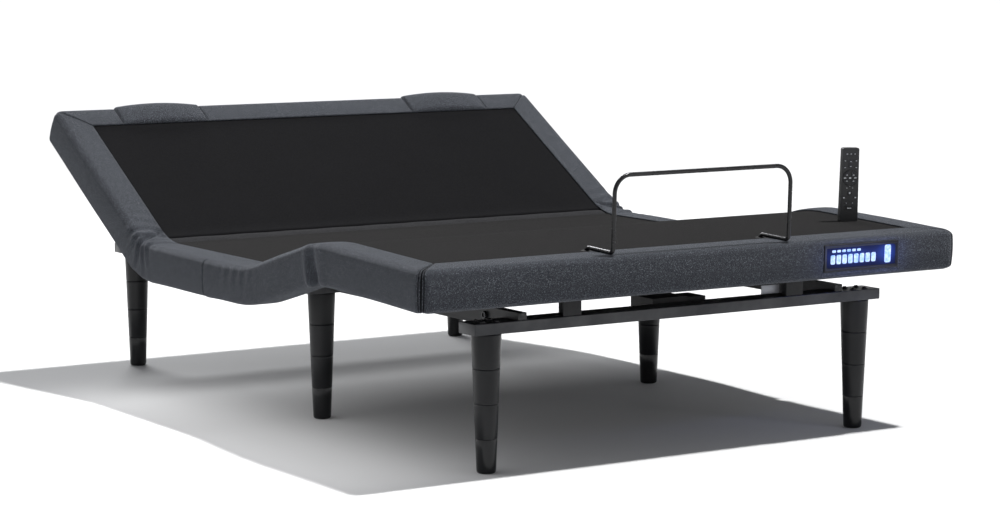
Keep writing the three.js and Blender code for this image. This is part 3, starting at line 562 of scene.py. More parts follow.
def gathers(x, s, u, h):
    """How far the cloth of a side rail stands out from its plain shape, in metres."""
    face, top, _, out = padding(u, h, 0.0012)
    side_face = face * np.clip((TOP - h) / 0.02, 0.25, 1)
    low = clamp((0.02 - h) / 0.07)
    # Gathered cloth where the head section folds up: creases run down the side from the fold.
    d = s - (S_HEAD + 0.004)
    dip = np.clip(TOP - h, 0, 0.2)
    for k, (start, lean, depth, width, reach) in enumerate(GATHERS):
        run = start + lean * dip + 0.004 * np.sin(55 * dip + k)
        crease = -depth * bell(d, run, width) + 0.6 * depth * bell(d, run + 1.6 * width, width)
        out += face * np.exp(-(dip / reach) ** 2) * crease
    crease = 0.011 * bell(d, 0.05 * (u / BAND), 0.0095) * top
    ridge = 0.0035 * (bell(d, -0.034, 0.016) + bell(d, 0.036, 0.016)) * top
    out += ridge - crease
    out += 0.0012 * top * bell(d, 0, 0.11) * np.sin(160 * d + 40 * u)
    # Slack cloth in the hollow between seat and thigh, with small puckers below the top edge.
    e = s - 0.02
    out -= 0.0045 * top * bell(e, 0.14, 0.16) * clamp((0.074 - u) / 0.04)
    out += 0.0014 * side_face * bell(h, 0.012, 0.03) * bell(e, 0.03, 0.09) * np.sin(150 * e + 18 * h)
    # The pinch under the knee: a deep soft valley on the hinge, and a ridge to each side.
    k = s - S_KNEE
    out -= 0.0118 * face * (0.35 + 0.65 * low) * bell(k, -0.004 + 0.16 * (h - BOTTOM) * 0.4, 0.0155)
    out += 0.0054 * face * bell(k, 0.030, 0.013) * (0.55 + 0.45 * low)
    out += 0.0026 * face * bell(k, -0.044, 0.022) * low
    out -= 0.0022 * face * low * bell(k + 1.1 * (h - BOTTOM - 0.02), 0.0, 0.005) * bell(k, -0.01, 0.03)
    return out + 0.0018 * top * bell(k, 0, 0.05)


def proud_gathers(x, s, u, h):
    """The same, standing a little proud towards the seat seam."""
    return gathers(x, s, u, h) + 0.0016 * np.exp(-((SEAM_S - s) / 0.05) ** 2)


def plain_end(x, s, u, h):
    return padding(u, h, 0.0014)[-1]


def head_pads(x, s, u, h):
    """Two slack pads in the head end rail, each between a deep seam and a shallow one."""
    hem, out = padding(u, h, 0.0014)[2:]
    top = clamp((h - TOP + 0.03) / 0.028) * clamp((0.0815 - u) / 0.006)
    inner, outer = PADS
    for side in (-1, 1):
        a = side * x
        t = clamp((a - inner) / (outer - inner))
        rise = 0.0026 + 0.0095 * np.sin(t * math.pi) ** 0.8 + 0.002 * (t if side < 0 else 1 - t)
        slack = rise * top * (0.45 + 0.55 * bell(u, 0.012, 0.06))
        out = out + np.where((a > inner) & (a < outer), slack, 0)
        out -= 0.0035 * (bell(a, inner, 0.0028) + bell(a, outer, 0.0034)) * clamp(top + 0.4) * hem
    return out


def rail_piece(name, stations, relief, seams, seed, seam_depth, topstitched=False):
    """A length of upholstered rail. Each station is (x outer, s outer, x inner, s inner); the inner point
    is where the band meets the deck. relief(x, s, u, h) is how far the cloth stands out; seams are station
    numbers. Returns the cover, its points and normals, and how far along it its stations are."""
    st = np.array(stations)
    t = SECTION[None, :, 0] / BAND
    x = st[:, None, 0] + (st[:, None, 2] - st[:, None, 0]) * t
    s = st[:, None, 1] + (st[:, None, 3] - st[:, None, 1]) * t
    u, h = (np.broadcast_to(SECTION[None, :, i], x.shape) for i in (0, 1))
    base = place(x, s, h)
    normal = outward_normals(base)
    run = distances(place(st[:, 0], st[:, 1], np.zeros(len(st))))
    uneven = 0.0007 * ripple(base[..., 0], base[..., 1] * 1.3, base[..., 2], seed)
    wall = on_inner_wall(u, h)
    lift = np.where((u > BAND - 0.0015) | wall, 0, relief(x, s, u, h) + uneven)
    for k in seams:
        dip = seam_depth * bell(run, run[k], 0.0032)
        for way in (-1, 1) if topstitched else ():
            dip += 0.0028 * bell(run, run[k] + way * TOPSTITCH, 0.0022)
        lift = lift - dip[:, None] * np.where(wall, 0, 1)
    points = base + normal * lift[..., None]
    uv = np.stack([np.broadcast_to(run[:, None], x.shape), np.broadcast_to(SECTION_LENGTH, x.shape)], -1)
    rows, cols = x.shape
    faces = grid_faces(rows, cols, closed=True)
    # The caps have vertices of their own, so that the cover's shading runs straight up to them.
    faces.append(tuple(range(rows * cols, (rows + 1) * cols))[::-1])
    faces.append(tuple(range((rows + 1) * cols, (rows + 2) * cols)))
    flat, cloth = (np.concatenate([grid.reshape(-1, grid.shape[-1]), grid[0], grid[-1]])
                   for grid in (points, uv))
    return link_mesh(name, flat, faces, "rail_cloth", cloth), points, normal, run


def round_corner(s_tip, towards, radius, a0, a1):
    """(x, s) points of the right corner's rounding, between two angles from the side."""
    return [(HALF_WIDTH - radius + radius * math.cos(a),
             s_tip - towards * radius + towards * radius * math.sin(a)) for a in np.linspace(a0, a1, 6)]


def corner(s_tip, towards, radius, side):
    """Stations from the straight rail round to the mitre, at the corner where s = s_tip."""
    start, s_in = s_tip - towards * LEAD, s_tip - towards * BAND
    outer = [(HALF_WIDTH, p) for p in steps(start, s_tip - towards * radius, END_STEP)]
    outer += round_corner(s_tip, towards, radius, 0, math.pi / 4)[1:]
    run = distances(outer)
    return [(side * x, s, side * (HALF_WIDTH - BAND), start + (s_in - start) * r / run[-1])
            for (x, s), r in zip(outer, run)]


def end_stations(s_tip, towards, radius, seams):
    """Stations of an end rail, from the left mitre to the right one."""
    x_in, s_in, start = HALF_WIDTH - BAND, s_tip - towards * BAND, HALF_WIDTH - LEAD
    outer = round_corner(s_tip, towards, radius, math.pi / 4, math.pi / 2)
    outer += [(x, s_tip) for x in steps(HALF_WIDTH - radius, start, END_STEP)[1:]]
    run = distances(outer)
    right = [(x, s, x_in + (start - x_in) * r / run[-1], s_in) for (x, s), r in zip(outer, run)]
    middle = [(x, s_tip, x, s_in) for x in steps(start, -start, END_STEP, seams)[1:-1]]
    left = [(-a, b, -c, d) for a, b, c, d in reversed(right)]
    return (right + middle + left)[::-1]


def stitch_line(bm, points, normals, offset, pitch=0.0055, length=0.0034, radius=0.00055):
    """A row of stitches along a line of surface points, moved offset sideways on the surface."""
    run = distances(points)
    for k in range(int(run[-1] / pitch)):
        ends = (k * pitch, k * pitch + length / 2, k * pitch + length)
        a, mid, b = (Vector([np.interp(r, run, points[:, i]) for i in range(3)]) for r in ends)
        n = Vector([np.interp(ends[1], run, normals[:, i]) for i in range(3)]).normalized()
        along = (b - a).normalized()
        sideways = n.cross(along) * offset
        mid = mid + n * radius * 0.9 + sideways
        sunk = sideways - n * radius * 0.6
        tube(bm, [a + sunk, mid - along * length * 0.25, mid + along * length * 0.25, b + sunk], radius, 6)


def add_cords(name, body, points, normal, cords, bm=None):
    """Threads that close a rail's seams, coloured dark as painted shade of their grooves. Each cord is (row,
    radius, how far it is sunk).
    """
    bm = bmesh.new() if bm is None else bm
    for row, radius, sink in cords:
        line_up = zip(points[row, SEEN], normal[row, SEEN])
        tube(bm, [Vector(p) - Vector(n) * sink for p, n in line_up], radius, 8)
    add_piece(bm, name, "thread", body)


def note_padded(cover, slot, *replaced):
    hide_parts(*replaced)


def row_at(run, value):
    return int(np.argmin(np.abs(run - value)))


def fold_reach(s, reach):
    """Both ends of the length that bends at the fold at s."""
    return tuple(tuple(p) for p in place(np.zeros(2), np.array([s - reach, s + reach]), np.zeros(2)))


def make_rails():
    half_thigh = -THIGH_LENGTH / 2
    for name, side in SIDES:
        straight = lambda *span: [(side * HALF_WIDTH, s, side * (HALF_WIDTH - BAND), s)
                                  for s in steps(*span)]
        seed = 1.0 + side
        stations = straight(SEAM_S, S_TIP_HEAD - LEAD, SIDE_STEP, [SEAM_S])[:-1]
        stations += corner(S_TIP_HEAD, 1, HEAD_RADIUS, side)
        cover, points, normal, _ = rail_piece(
            f"{name}_head_rail_cover", stations, gathers, (0, -1), seed, SIDE_SEAM)
        stitches = bmesh.new()
        stitch_line(stitches, points[-1, SEEN], normal[-1, SEEN], 0.004 * side)
        add_cords(f"{name}_head_corner_stitches", "head_section", points, normal,
                  [(-1, 0.0011, 0.0004)], stitches)
        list(fold_reach(S_HEAD, RAIL_FOLD))
        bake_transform(cover)
        note_padded(cover, "rail_fabric", f"{name}_head_bolster")

        cover, points, normal, _ = rail_piece(
            f"{name}_seat_rail_cover", straight(half_thigh, SEAM_S, SIDE_STEP, [SEAM_S]), proud_gathers,
            (-1,), seed, SIDE_SEAM)
        add_cords(f"{name}_seat_seam", "underframe", points, normal, [(-1, 0.0012, 0.0004)])
        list(fold_reach(0.0, RAIL_FOLD))
        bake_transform(cover)
        note_padded(cover, "rail_fabric", f"{name}_seat_bolster", f"{name}_thigh_bolster")

        stations = straight(half_thigh, S_TIP_FOOT + LEAD, SIDE_STEP)[:-1]
        stations += corner(S_TIP_FOOT, -1, FOOT_RADIUS, side)
        cover, points, normal, run = rail_piece(
            f"{name}_foot_rail_cover", stations, gathers, (-1,), seed, FOOT_SEAM, topstitched=True)
        add_cords(f"{name}_foot_corner_stitches", "foot_section", points, normal,
                  [(row_at(run, run[-1] - TOPSTITCH), 0.0014, 0.0), (-1, 0.0021, -0.0004)])
        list(fold_reach(S_KNEE, -RAIL_FOLD))
        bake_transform(cover)
        note_padded(cover, "rail_fabric", f"{name}_foot_bolster")
    end_rail("head", S_TIP_HEAD, 1, HEAD_RADIUS, head_pads, [side * x for side in (-1, 1) for x in PADS])
    end_rail("foot", S_TIP_FOOT, -1, FOOT_RADIUS, plain_end)


def end_rail(end, s_tip, towards, radius, relief, seams=()):
    """The rail across one end, with the seams of its corners or of its pads."""
    name, body, foot = f"{end}_end_rail_cover", f"{end}_section", end == "foot"
    cover, points, normal, run = rail_piece(
        name, end_stations(s_tip, towards, radius, seams), relief, (0, -1), 3.0,
        FOOT_SEAM if foot else HEAD_SEAM, topstitched=foot)
    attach(cover, body)
    note_padded(cover, "rail_fabric", f"{end}_end_bolster")
    beside = (TOPSTITCH, run[-1] - TOPSTITCH) if foot else ()
    cords = [(row_at(run, value), 0.0014, 0.0) for value in beside]
    cords += [(row_at(points[:, SEEN[-1], 0], x), 0.0009 if abs(x) == PADS[0] else 0.0012, 0.0004)
              for x in seams]
    add_cords(f"{name}_seams", body, points, normal, cords)


# ---- Deck panels ----

# Stations in from each edge of a panel, where its cloth rolls over.
HEM_STEPS = (0, 0.0009, 0.003, 0.007, 0.014)


def hemmed(a, b, inset, count):
    """Stations from a to b, closer at both ends."""
    return ([a + d for d in HEM_STEPS] + list(np.linspace(a + inset, b - inset, count))
            + [b - d for d in reversed(HEM_STEPS)])


def deck_cover(section, body, s0, s1, material, crown=0.0012, hem=0.007, skin=0.0004):
    """A board wrapped in cloth: its edges roll over, and the top is stretched a little crowned.
    Without a body it is left attached to none."""
    name = f"{section}_deck_cover"
    half = HALF_WIDTH - CORE - 0.0004
    rows = max(8, round((s1 - s0) / 0.012))
    x, s = np.meshgrid(hemmed(-half, half, 0.03, 60), hemmed(s0, s1, 0.025, rows))
    edge_x = clamp((half - np.abs(x)) / hem)
    edge_s = clamp(np.minimum(s - s0, s1 - s) / hem)
    drop = hem * (2 - np.sqrt(1 - (1 - edge_x) ** 2) - np.sqrt(1 - (1 - edge_s) ** 2))
    wide = clamp(1 - (x / half) ** 2) * np.sin(clamp((s - s0) / (s1 - s0)) * math.pi)
    h = DECK_TOP + skin + crown * wide - np.minimum(drop, DECK_TOP - DECK_BOTTOM)
    h += 0.00025 * ripple(x * 1.7, s * 2.1, s * 0, len(name))
    points = [place(x, s, level).reshape(-1, 3) for level in (h, np.full(x.shape, DECK_BOTTOM))]
    rows, cols = x.shape
    size = rows * cols
    faces = [face for top in grid_faces(rows, cols) for face in (top, flipped(top, size))]
    loop = [*range(cols), *range(2 * cols - 1, size, cols), *range(size - 2, size - cols - 1, -1),
            *range(size - 2 * cols, 0, -cols)]
    faces += [(b, a, a + size, b + size) for a, b in zip(loop, loop[1:] + loop[:1])]
    uv = np.concatenate([np.stack([x, s], -1).reshape(-1, 2)] * 2)
    cover = link_mesh(name, np.concatenate(points), faces, material, uv)
    if body:
        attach(cover, body)
    else:
        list(fold_reach(S_KNEE, 0.062))
        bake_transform(cover)
    note_padded(cover, "deck_panel", f"{section}_deck")


def gusset(name, s0, s1, reach, material="deck_cloth", sag=0.006, drop=0.0045, thickness=0.0012):
    """A loose strip of cloth that closes the gap between two panels."""
    half = HALF_WIDTH - CORE - 0.004
    x, s = np.meshgrid(np.linspace(-half, half, 90), np.linspace(s0, s1, 18))
    t = (s - s0) / (s1 - s0)
    h = DECK_TOP - drop - sag * np.sin(t * math.pi) + 0.0006 * np.sin(47 * x + 5 * t) * np.sin(t * math.pi)
    uv = np.stack([x, s], -1).reshape(-1, 2)
    strip = link_mesh(name, place(x, s, h).reshape(-1, 3), grid_faces(*x.shape), material, uv)
    modifier = strip.modifiers.new("thickness", "SOLIDIFY")
    modifier.thickness, modifier.offset = thickness, 0
    depsgraph = bpy.context.evaluated_depsgraph_get()
    mesh = bpy.data.meshes.new_from_object(strip.evaluated_get(depsgraph))
    strip.modifiers.clear()
    strip.data = mesh
    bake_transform(strip)


def gap_at(name, rest_angle):
    """How far a panel stays from its hinge, so that its top clears the next one's when it is folded up."""
    half_fold = (math.degrees(abs(rest_angle)) + joints[name]["range_deg"][1]) / 2
    return 0.001 + DECK_TOP * math.tan(math.radians(half_fold))


def make_decks():
    head_gap, seat_gap = gap_at("head_lift", HEAD_ANGLE), gap_at("thigh_lift", THIGH_ANGLE)
    inner, knee_gap, lap = CORE + 0.0006, 0.001, 0.012
    # The head deck takes the darker copy of the deck cloth, its painted shade.
    deck_cover("head", "head_section", S_HEAD + head_gap, S_TIP_HEAD - inner, "head_cloth")
    deck_cover("seat", "underframe", seat_gap, S_HEAD - head_gap, "deck_cloth")
    deck_cover("thigh", None, S_KNEE + knee_gap, -seat_gap, "deck_cloth")
    deck_cover("foot", None, S_TIP_FOOT + inner, S_KNEE - knee_gap, "deck_cloth")
    gusset("head_gap_gusset", S_HEAD - head_gap - lap,
           S_HEAD + head_gap + lap, fold_reach(S_HEAD, 0.03), "strip_cloth", sag=-0.006, drop=0.0068)
    gusset("seat_gap_gusset", -seat_gap - lap, seat_gap + lap,
           fold_reach(0.0, 0.02))
    gusset("knee_gusset", S_KNEE - 0.016, S_KNEE + 0.016,
           fold_reach(S_KNEE, 0.012), sag=0.002)


# ---- Hard parts ----


# Looks of the CAD nodes that are shown as they are, by how their names end. The first match counts.
CAD_LOOKS = {
    "bar_paint": ("_cross_bar",),
    "section_paint": ("_side_rail", "_foot_rest", "_cross_tube", "_crossmember", "_channel"),
    "zinc": ("_rod",),
    "plastic": ("control_box", "_actuator", "_motor", "_housing"),
    "remote_shell": ("remote_body", "battery_cover"),
    "key_dark": ("flat_key",),
    "key_rubber": ("_key", "_rocker"),
}
# Widths of the softened edges, by node or by look; the others have the usual one.
SMALL_EDGE, USUAL_EDGE = 0.00035, 0.0014
EDGES = {"remote_body": 0.0009, **dict.fromkeys(("battery_cover", "key_rubber", "key_dark"), SMALL_EDGE)}


def dress_cad_nodes():
    """Materials and softened edges for the CAD nodes that are shown as they are."""
    for name, obj in nodes.items():
        look = next((look for look, ends in CAD_LOOKS.items() if name.endswith(ends)), None)
        if look is None:
            continue
        obj.data.materials.clear()
        obj.data.materials.append(bpy.data.materials[look])
        obj.modifiers.new("weld", "WELD").merge_threshold = 1e-5
        bevel = obj.modifiers.new("edges", "BEVEL")
        bevel.width = EDGES.get(name, EDGES.get(look, USUAL_EDGE))
        bevel.segments = 2
        bevel.limit_method, bevel.angle_limit = "ANGLE", math.radians(35)
        bevel.harden_normals = False


# A groove between two leg segments: how deep and how far up, in seam widths.
LEG_GROOVE = ((0, -1.1), (0.5, -0.35), (1.3, 0), (0.5, 0.35), (0, 1.1))
LEG = {"top": 0.0345, "head_top": 0.033, "foot": 0.022, "segments": 4, "seam": 0.0009, "toe": 0.006}


def make_legs():
    """Each leg is four stacked tapered segments: three satin ones, and a glossier one at the floor."""
    for node in [f"{name}_{row}_leg" for row in ROWS for name, _ in SIDES]:
        lo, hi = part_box(node)
        centre, height = ((lo.x + hi.x) / 2, (lo.y + hi.y) / 2, 0), hi.z
        wide = LEG["head_top" if "_head_" in node else "top"]
        radius = lambda z: LEG["foot"] + (wide - LEG["foot"]) * z / height
        on_side = lambda *levels: [(radius(z), z) for z in levels]
        cuts = [height * k / LEG["segments"] for k in range(1, LEG["segments"])]
        low, g, t = cuts[0], LEG["seam"], LEG["toe"]
        upper = [(0, low + 0.0001), (radius(low) - 1.6 * g, low + 0.0001),
                 (radius(low) - 0.4 * g, low + 0.3 * g), (radius(low), low + g)]
        for c in cuts[1:]:
            groove = [(radius(c) - deep * g, c + up * g) for deep, up in LEG_GROOVE]
            upper += on_side(c - 0.004) + groove + on_side(c + 0.004)
        upper += on_side(height - 0.003) + [(radius(height) - 0.0006, height - 0.0008),
                                            (radius(height) - 0.002, height), (0, height)]
        lower = [(0, 0.0006), (radius(0) - t - 0.001, 0.0006), (radius(0) - t, 0.0)]
        lower += [(radius(0) - t + t * math.sin(a), t - t * math.cos(a))
                  for a in np.linspace(0.15, 1.45, 6)]
        lower += on_side(*np.linspace(t + 0.003, low - 1.6 * g, 4))
        lower += [(radius(low) - 0.4 * g, low - 0.4 * g), (radius(low) - 1.6 * g, low - 0.0002),
                  (0, low - 0.0002)]
        for profile, part, look, replaced in ((upper, "shaft", "leg_satin", (node,)),
                                              (lower, "toe", "leg_gloss", ())):
            bm = bmesh.new()
            lathe(bm, profile, centre, (0, 0, 1), 56)
            add_piece(bm, f"{node}_{part}", look, "underframe", sharp=60, replaces=replaced)


# A bar's closed end is two boxes: how far in from the end each reaches, how much smaller it is than the
# bar, its edge's radius and segments.
BAR_CAP = ((0.0002, -0.0016, 0.0002, 0.0007, 2), (0.014, 0.0001, 0.0024, 0.0005, 1))
LEG_BOLT = {"radius": 0.0052, "height": 0.003, "washer": 0.0075, "apart": (0.018, 0.016)}
SIDE_RAIL_HEIGHT = 0.0175
KNOB = [(0, 0), (0.0086, 0), (0.009, 0.001), (0.009, 0.0052), (0.0082, 0.0064), (0.0052, 0.0066),
        (0.0046, 0.0044), (0, 0.0044)]
ROD_WASHER = [(0.0054, 0), (0.0105, 0), (0.0105, 0.0012), (0.0054, 0.0012)]
ROD_NUT = [(0, 0), (0.0078, 0.0), (0.0086, 0.0008), (0.0086, 0.0052), (0.0078, 0.006), (0, 0.006)]
GROMMET = [(0.0062, 0), (0.0125, 0), (0.0122, 0.0012), (0.0095, 0.0023), (0.0066, 0.0024), (0.0062, 0.0015)]


def leg_bolt(bm, at):
    """A dome-headed bolt on its washer, with a socket in its head."""
    washer, radius, height = LEG_BOLT["washer"], LEG_BOLT["radius"], LEG_BOLT["height"]
    disc = [(0, 0), (washer, 0), (washer, 0.0009), (washer - 0.0005, 0.0013), (0, 0.0013)]
    lathe(bm, disc, at, (0, 0, 1), 28)
    dome = [(0, 0), (1, 0), (1, 0.3), (0.93, 0.62), (0.75, 0.88), (0.52, 1), (0.42, 1), (0.40, 0.45),
            (0, 0.45)]
    dome = [(r * radius, h * height) for r, h in dome]
    lathe(bm, dome, Vector(at) + Vector((0, 0, 0.0012)), (0, 0, 1), 24)


def make_bar_details():
    """Closed ends for the bars and rails, bolts, the side rails' adjusting knobs, and the rests' pads."""
    bars = [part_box(f"{row}_cross_bar") for row in ROWS]
    bottom, top = bars[0][0].z, bars[0][1].z
    for row, (lo, hi) in zip(ROWS, bars):
        bm = bmesh.new()
        for _, side in SIDES:
            end = side * hi.x
            for near, far, inset, *edge in BAR_CAP:
                a, b = sorted((end - side * near, end - side * far))
                rounded_box(bm, (a, lo.y + inset, bottom + inset), (b, hi.y - inset, top - inset), *edge)
        add_piece(bm, f"{row}_bar_end_caps", "bar_paint", "underframe")
        bm = bmesh.new()
        for name, _ in SIDES:
            lo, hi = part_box(f"{name}_{row}_leg")
            for x, y in ((-1, -1), (1, -1), (-1, 1), (1, 1)):
                leg_bolt(bm, ((lo.x + hi.x) / 2 + x * LEG_BOLT["apart"][0],
                              (lo.y + hi.y) / 2 + y * LEG_BOLT["apart"][1], top))
        add_piece(bm, f"{row}_leg_bolts", "bolt_black", "underframe", sharp=40)
    seat_top = top + SIDE_RAIL_HEIGHT
    for name, side in SIDES:
        lo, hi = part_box(f"{name}_side_rail")
        bm = bmesh.new()
        for end, way in ((lo.y, -1), (hi.y, 1)):
            a, b = sorted((end - way * 0.010, end + way * 0.0014))
            rounded_box(bm, (lo.x + 0.0003, a, top + 0.0005), (hi.x - 0.0003, b, seat_top - 0.0003), 0.0012)
        add_piece(bm, f"{name}_side_rail_end_caps", "leg_gloss", "underframe")
        bm = bmesh.new()
        outer = lo.x if side < 0 else hi.x
        for y in (bars[0][1].y + 0.07, bars[1][0].y - 0.05, bars[1][1].y + 0.05, bars[2][0].y - 0.05):
            lathe(bm, KNOB, (outer, y, (bottom + seat_top) / 2 + 0.002), (side, 0, 0), 32)
        add_piece(bm, f"{name}_side_rail_bolts", "bolt_black", "underframe", sharp=40)
    bm = bmesh.new()
    for name, _ in SIDES:
        lo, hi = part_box(f"{name}_foot_rest")
        rounded_box(bm, (lo.x + 0.001, lo.y + 0.001, hi.z - 0.0035),
                    (hi.x - 0.001, hi.y - 0.001, hi.z + 0.0002), 0.0011)
    add_piece(bm, "foot_rest_pads", "rubber_pad", "underframe")
    # A small plain plate beside the right rest.
    bm = bmesh.new()
    rounded_box(bm, (lo.x - 0.056, hi.y + 0.004, top + 0.006),
                (lo.x - 0.002, hi.y + 0.0065, top + 0.027), 0.0008)
    add_piece(bm, "right_rest_plate", "bracket_grey", "underframe")


def make_hinge_details():
    """Washers and nuts at the ends of the hinge rods, where the covers leave room for them."""
    for node in ("seat_hinge_rod", "head_hinge_rod"):
        lo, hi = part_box(node)
        y, z = (lo.y + hi.y) / 2, (lo.z + hi.z) / 2
        bm = bmesh.new()
        for _, side in SIDES:
            for profile, inset, sides in ((ROD_WASHER, 0.0028, 28), (ROD_NUT, 0.0015, 6)):
                lathe(bm, profile, (hi.x * side - side * inset, y, z), (side, 0, 0), sides)
        add_piece(bm, f"{node}_nuts", "bolt_black", "underframe", sharp=30)


# ---- Mattress retainer ----

RETAINER = {"half": 0.251, "radius": 0.005, "edge": 0.009, "run": 0.106, "rise": 0.176,
            "bend": 0.012, "arch": 0.042, "sink": 0.012}


def turn(corner_at, into, out, radius, count):
    """Points round a bend, from the direction into it to the direction out of it."""
    centre = corner_at - into * radius + out * radius
    return [centre - out * radius * math.cos(a) + into * radius * math.sin(a)
            for a in np.linspace(0, math.pi / 2, count)]


def make_retainer():
    r = RETAINER
    level = TOP + 0.0003 + r["radius"]
    front, tail = S_TIP_FOOT + r["edge"], S_TIP_FOOT + r["edge"] + r["run"]
    up, forward, inward = Vector((0, 0, 1)), Vector((0, -1, 0)), Vector((-1, 0, 0))
    half = [Vector((r["half"], tail, DECK_TOP - r["sink"] + r["radius"]))]
    half += turn(Vector((r["half"], tail, level)), up, forward, r["bend"], 9)
    half += turn(Vector((r["half"], front, level)), forward, up, r["bend"], 9)
    half += turn(Vector((r["half"], front, level + r["rise"])), up, inward, r["arch"], 15)
    rod = np.array([(-x, s, h) for x, s, h in half] + half[::-1])
    bm = bmesh.new()
    tube(bm, place(*rod.T), r["radius"], 24)
    add_piece(bm, "retainer_rod", "wire_paint", "retainer", sharp=60,
              replaces=("retainer_bar",))
    bm = bmesh.new()
    for _, side in SIDES:
        lathe(bm, GROMMET, point(side * r["half"], tail, DECK_TOP - 0.0002), FOOT_UP, 36)
    add_piece(bm, "retainer_grommets", "rubber_pad", "foot_section", sharp=40)


# ---- Light panel ----

# Glow centres on the lens: from its left, from its top, and the halo's reach, in metres.
PANEL_GLOWS = ((0.085, 0.030, 0.085, 0.022), (0.195, 0.026, 0.030, 0.030))
PANEL = {"width": 0.228, "height": 0.064, "inset": 0.0064, "down": 0.014, "recess": 0.0031}
# Lit bars: left, top, width, height, corner radius, how many and how far apart.
PANEL_MARKS = ((0.024, 0.0125, 0.011, 0.006, 0.0022, 6, 0.0152),
               (0.020, 0.0245, 0.0135, 0.022, 0.0035, 8, 0.0178),
               (0.186, 0.009, 0.019, 0.043, 0.005, 1, 0))
# Lights in front of the lens: place from its left, energy and width.
PANEL_HALOS = ((0.085, 0.10, 0.15), (0.195, 0.06, 0.03))


def on_panel(u, v, out):
    """A point from the panel's left and top, and out from its lens."""
    lo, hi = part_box("light_panel_housing")
    left = (lo.x + hi.x) / 2 - PANEL["width"] / 2
    return point(left + u, S_TIP_FOOT - PANEL["recess"] - out, TOP - PANEL["down"] - v)


def panel_mark(bm, u0, v0, u1, v1, radius):
    """A flat rounded bar that stands a hair off the lens."""
    ring = []
    for u, v, start in ((u1 - radius, v1 - radius, 0), (u0 + radius, v1 - radius, 90),
                        (u0 + radius, v0 + radius, 180), (u1 - radius, v0 + radius, 270)):
        ring += arc(u, v, radius, start, start + 90, 5)
    prism(bm, [on_panel(u, v, -0.0002) for u, v in ring], [on_panel(u, v, 0.0005) for u, v in ring])


def prism(bm, low, high):
    """Walls between two outlines and a face over the high one."""
    low, high = ([bm.verts.new(p) for p in points] for points in (low, high))
    bm.faces.new(high)
    for i in range(len(low)):
        k = (i + 1) % len(low)
        bm.faces.new((low[i], low[k], high[k], high[i]))


def make_light_panel():
    wide, tall, inset = PANEL["width"], PANEL["height"], PANEL["inset"]
    us, vs = np.linspace(inset, wide - inset, 30), np.linspace(inset, tall - inset, 10)
    uv = [(u, v) for v in vs for u in us]
    rim = [u in (us[0], us[-1]) or v in (vs[0], vs[-1]) for u, v in uv]
    points = [on_panel(u, v, -0.0004 if edge else 0.0) for (u, v), edge in zip(uv, rim)]
    faces = [flipped(face) for face in grid_faces(len(vs), len(us))]
    lens = link_mesh("light_panel_smoked_lens", points, faces, "smoked_lens", uv)
    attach(lens, "foot_section")
    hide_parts("light_panel_lens")
    bm = bmesh.new()
    for left, top, width, height, radius, count, apart in PANEL_MARKS:
        for u in (left + k * apart for k in range(count)):
            panel_mark(bm, u, top, u + width, top + height, radius)
    add_piece(bm, "light_panel_marks", "glow_mark", "foot_section", smooth=False)
    for u, energy, width in PANEL_HALOS:
        light = make_light("panel_halo", "AREA", energy, on_panel(u, 0.03, 0.05), on_panel(u, 0.03, 0.0),
                           width, 0.03, (0.25, 0.35, 1.0))
        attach(light, "foot_section")


# ---- Handset ----

REMOTE = {"x": 0.127, "inset": 0.255, "yaw": math.radians(-20), "half": 0.008}
MARK_SCALE, MARK_HEIGHT = 1.25, 0.22
# The handset's drawn parts in millimetres: u from its middle line (once on each side), v up from its foot
# and w out from its face. A key is (u, v, radius, rise) and its mark (half u, half v, w).
SMALL_KEYS = (
    ((0, 169, 3.0, 1.0), (1.2, 0.45, 0.95)),
    ((10, 169, 3.0, 1.0), (1.2, 0.45, 0.95)),
    ((14.5, 152, 3.6, 1.1), (1.3, 0.5, 1.05)),
    ((14.5, 135, 3.6, 1.1), (1.3, 0.5, 1.05)),
    ((15, 60, 4.0, 1.2), (1.6, 1.1, 1.12)),
    ((8.3, 46.5, 2.2, 0.9), (0.7, 0.7, 0.82)),
)
# Marks on the case and on the moving keys: (u, v, half u, half v, w).
OTHER_MARKS = (
    (7.5, 84, 0.8, 0.5, -0.02), (0, 88, 0.8, 0.5, -0.02), (0, 71.5, 1.5, 1.5, 1.2),
    (0, 109, 2.2, 1.0, -0.02), (13.5, 109, 2.4, 0.8, -0.02), (8.5, 116.5, 1.6, 0.55, 1.2),
    (8.5, 101.5, 1.6, 0.55, 1.2), (0, 150, 1.4, 0.4, 1.2), (0, 138, 1.4, 0.4, 1.2), (0, 33.6, 4.2, 0.7, 1.2),
)
BEZELS = ((109, 19.6, 20.6, 0.7), (71.5, 5.0, 5.9, 0.6))  # (v, inner and outer radius, rise)


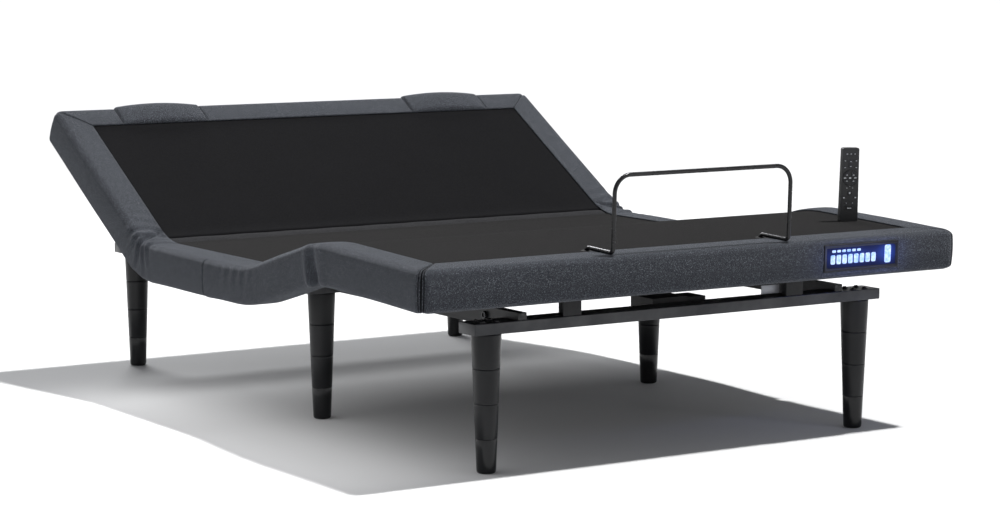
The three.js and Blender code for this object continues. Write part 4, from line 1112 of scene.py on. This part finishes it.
def make_handset_details():
    """The handset's small fixed keys, the dial's bezel, and plain light marks on its keys."""
    along = Vector((0, math.cos(FOOT_ANGLE), math.sin(FOOT_ANGLE)))
    across = Vector((1, 0, 0)) * math.cos(REMOTE["yaw"]) + along * math.sin(REMOTE["yaw"])
    front = across.cross(FOOT_UP)
    base = point(HALF_WIDTH - REMOTE["x"], S_TIP_FOOT + REMOTE["inset"], DECK_TOP + 0.0003)
    at = lambda u, v, w: (base + across * u * 0.001 + FOOT_UP * v * 0.001
                          + front * (REMOTE["half"] + w * 0.001))
    beside = lambda u: (-u, u) if u else (0,)
    rubber, dark, prints = bmesh.new(), bmesh.new(), bmesh.new()
    marks = list(OTHER_MARKS)
    for (u, v, radius, rise), mark in SMALL_KEYS:
        marks.append((u, v, *mark))
        r, h = radius * 0.001, rise * 0.001
        dome = [(0, -0.0004), (r, -0.0004), (r, 0.35 * h), (0.94 * r, 0.7 * h), (0.78 * r, 0.92 * h),
                (0, h)]
        for u in beside(u):
            lathe(rubber, dome, at(u, v, 0), front, 28)
    for v, inner, outer, rise in BEZELS:
        a, b, h = inner * 0.001, outer * 0.001, rise * 0.001
        ring = [(a, -0.0003), (a, 0.7 * h), ((a + b) / 2, h), (b, 0.6 * h), (b, -0.0003)]
        lathe(dark, ring, at(0, v, 0), front, 48)
    for u, v, half_u, half_v, w in marks:
        for u in beside(u):
            outline = [(u + x * MARK_SCALE * half_u, v + y * MARK_SCALE * half_v)
                       for x, y in ((-1, -1), (1, -1), (1, 1), (-1, 1))]
            prism(prints, *([at(*p, level) for p in outline] for level in (w, w + MARK_HEIGHT)))
    add_piece(rubber, "handset_small_keys", "key_rubber", "handset", sharp=40)
    add_piece(dark, "handset_bezels", "key_dark", "handset", sharp=40)
    add_piece(prints, "handset_marks", "mark_print", "handset", smooth=False)


make_camera()
make_materials()
make_stage()
make_rails()
make_decks()
dress_cad_nodes()
make_legs()
make_bar_details()
make_hinge_details()
make_retainer()
make_light_panel()
make_handset_details()
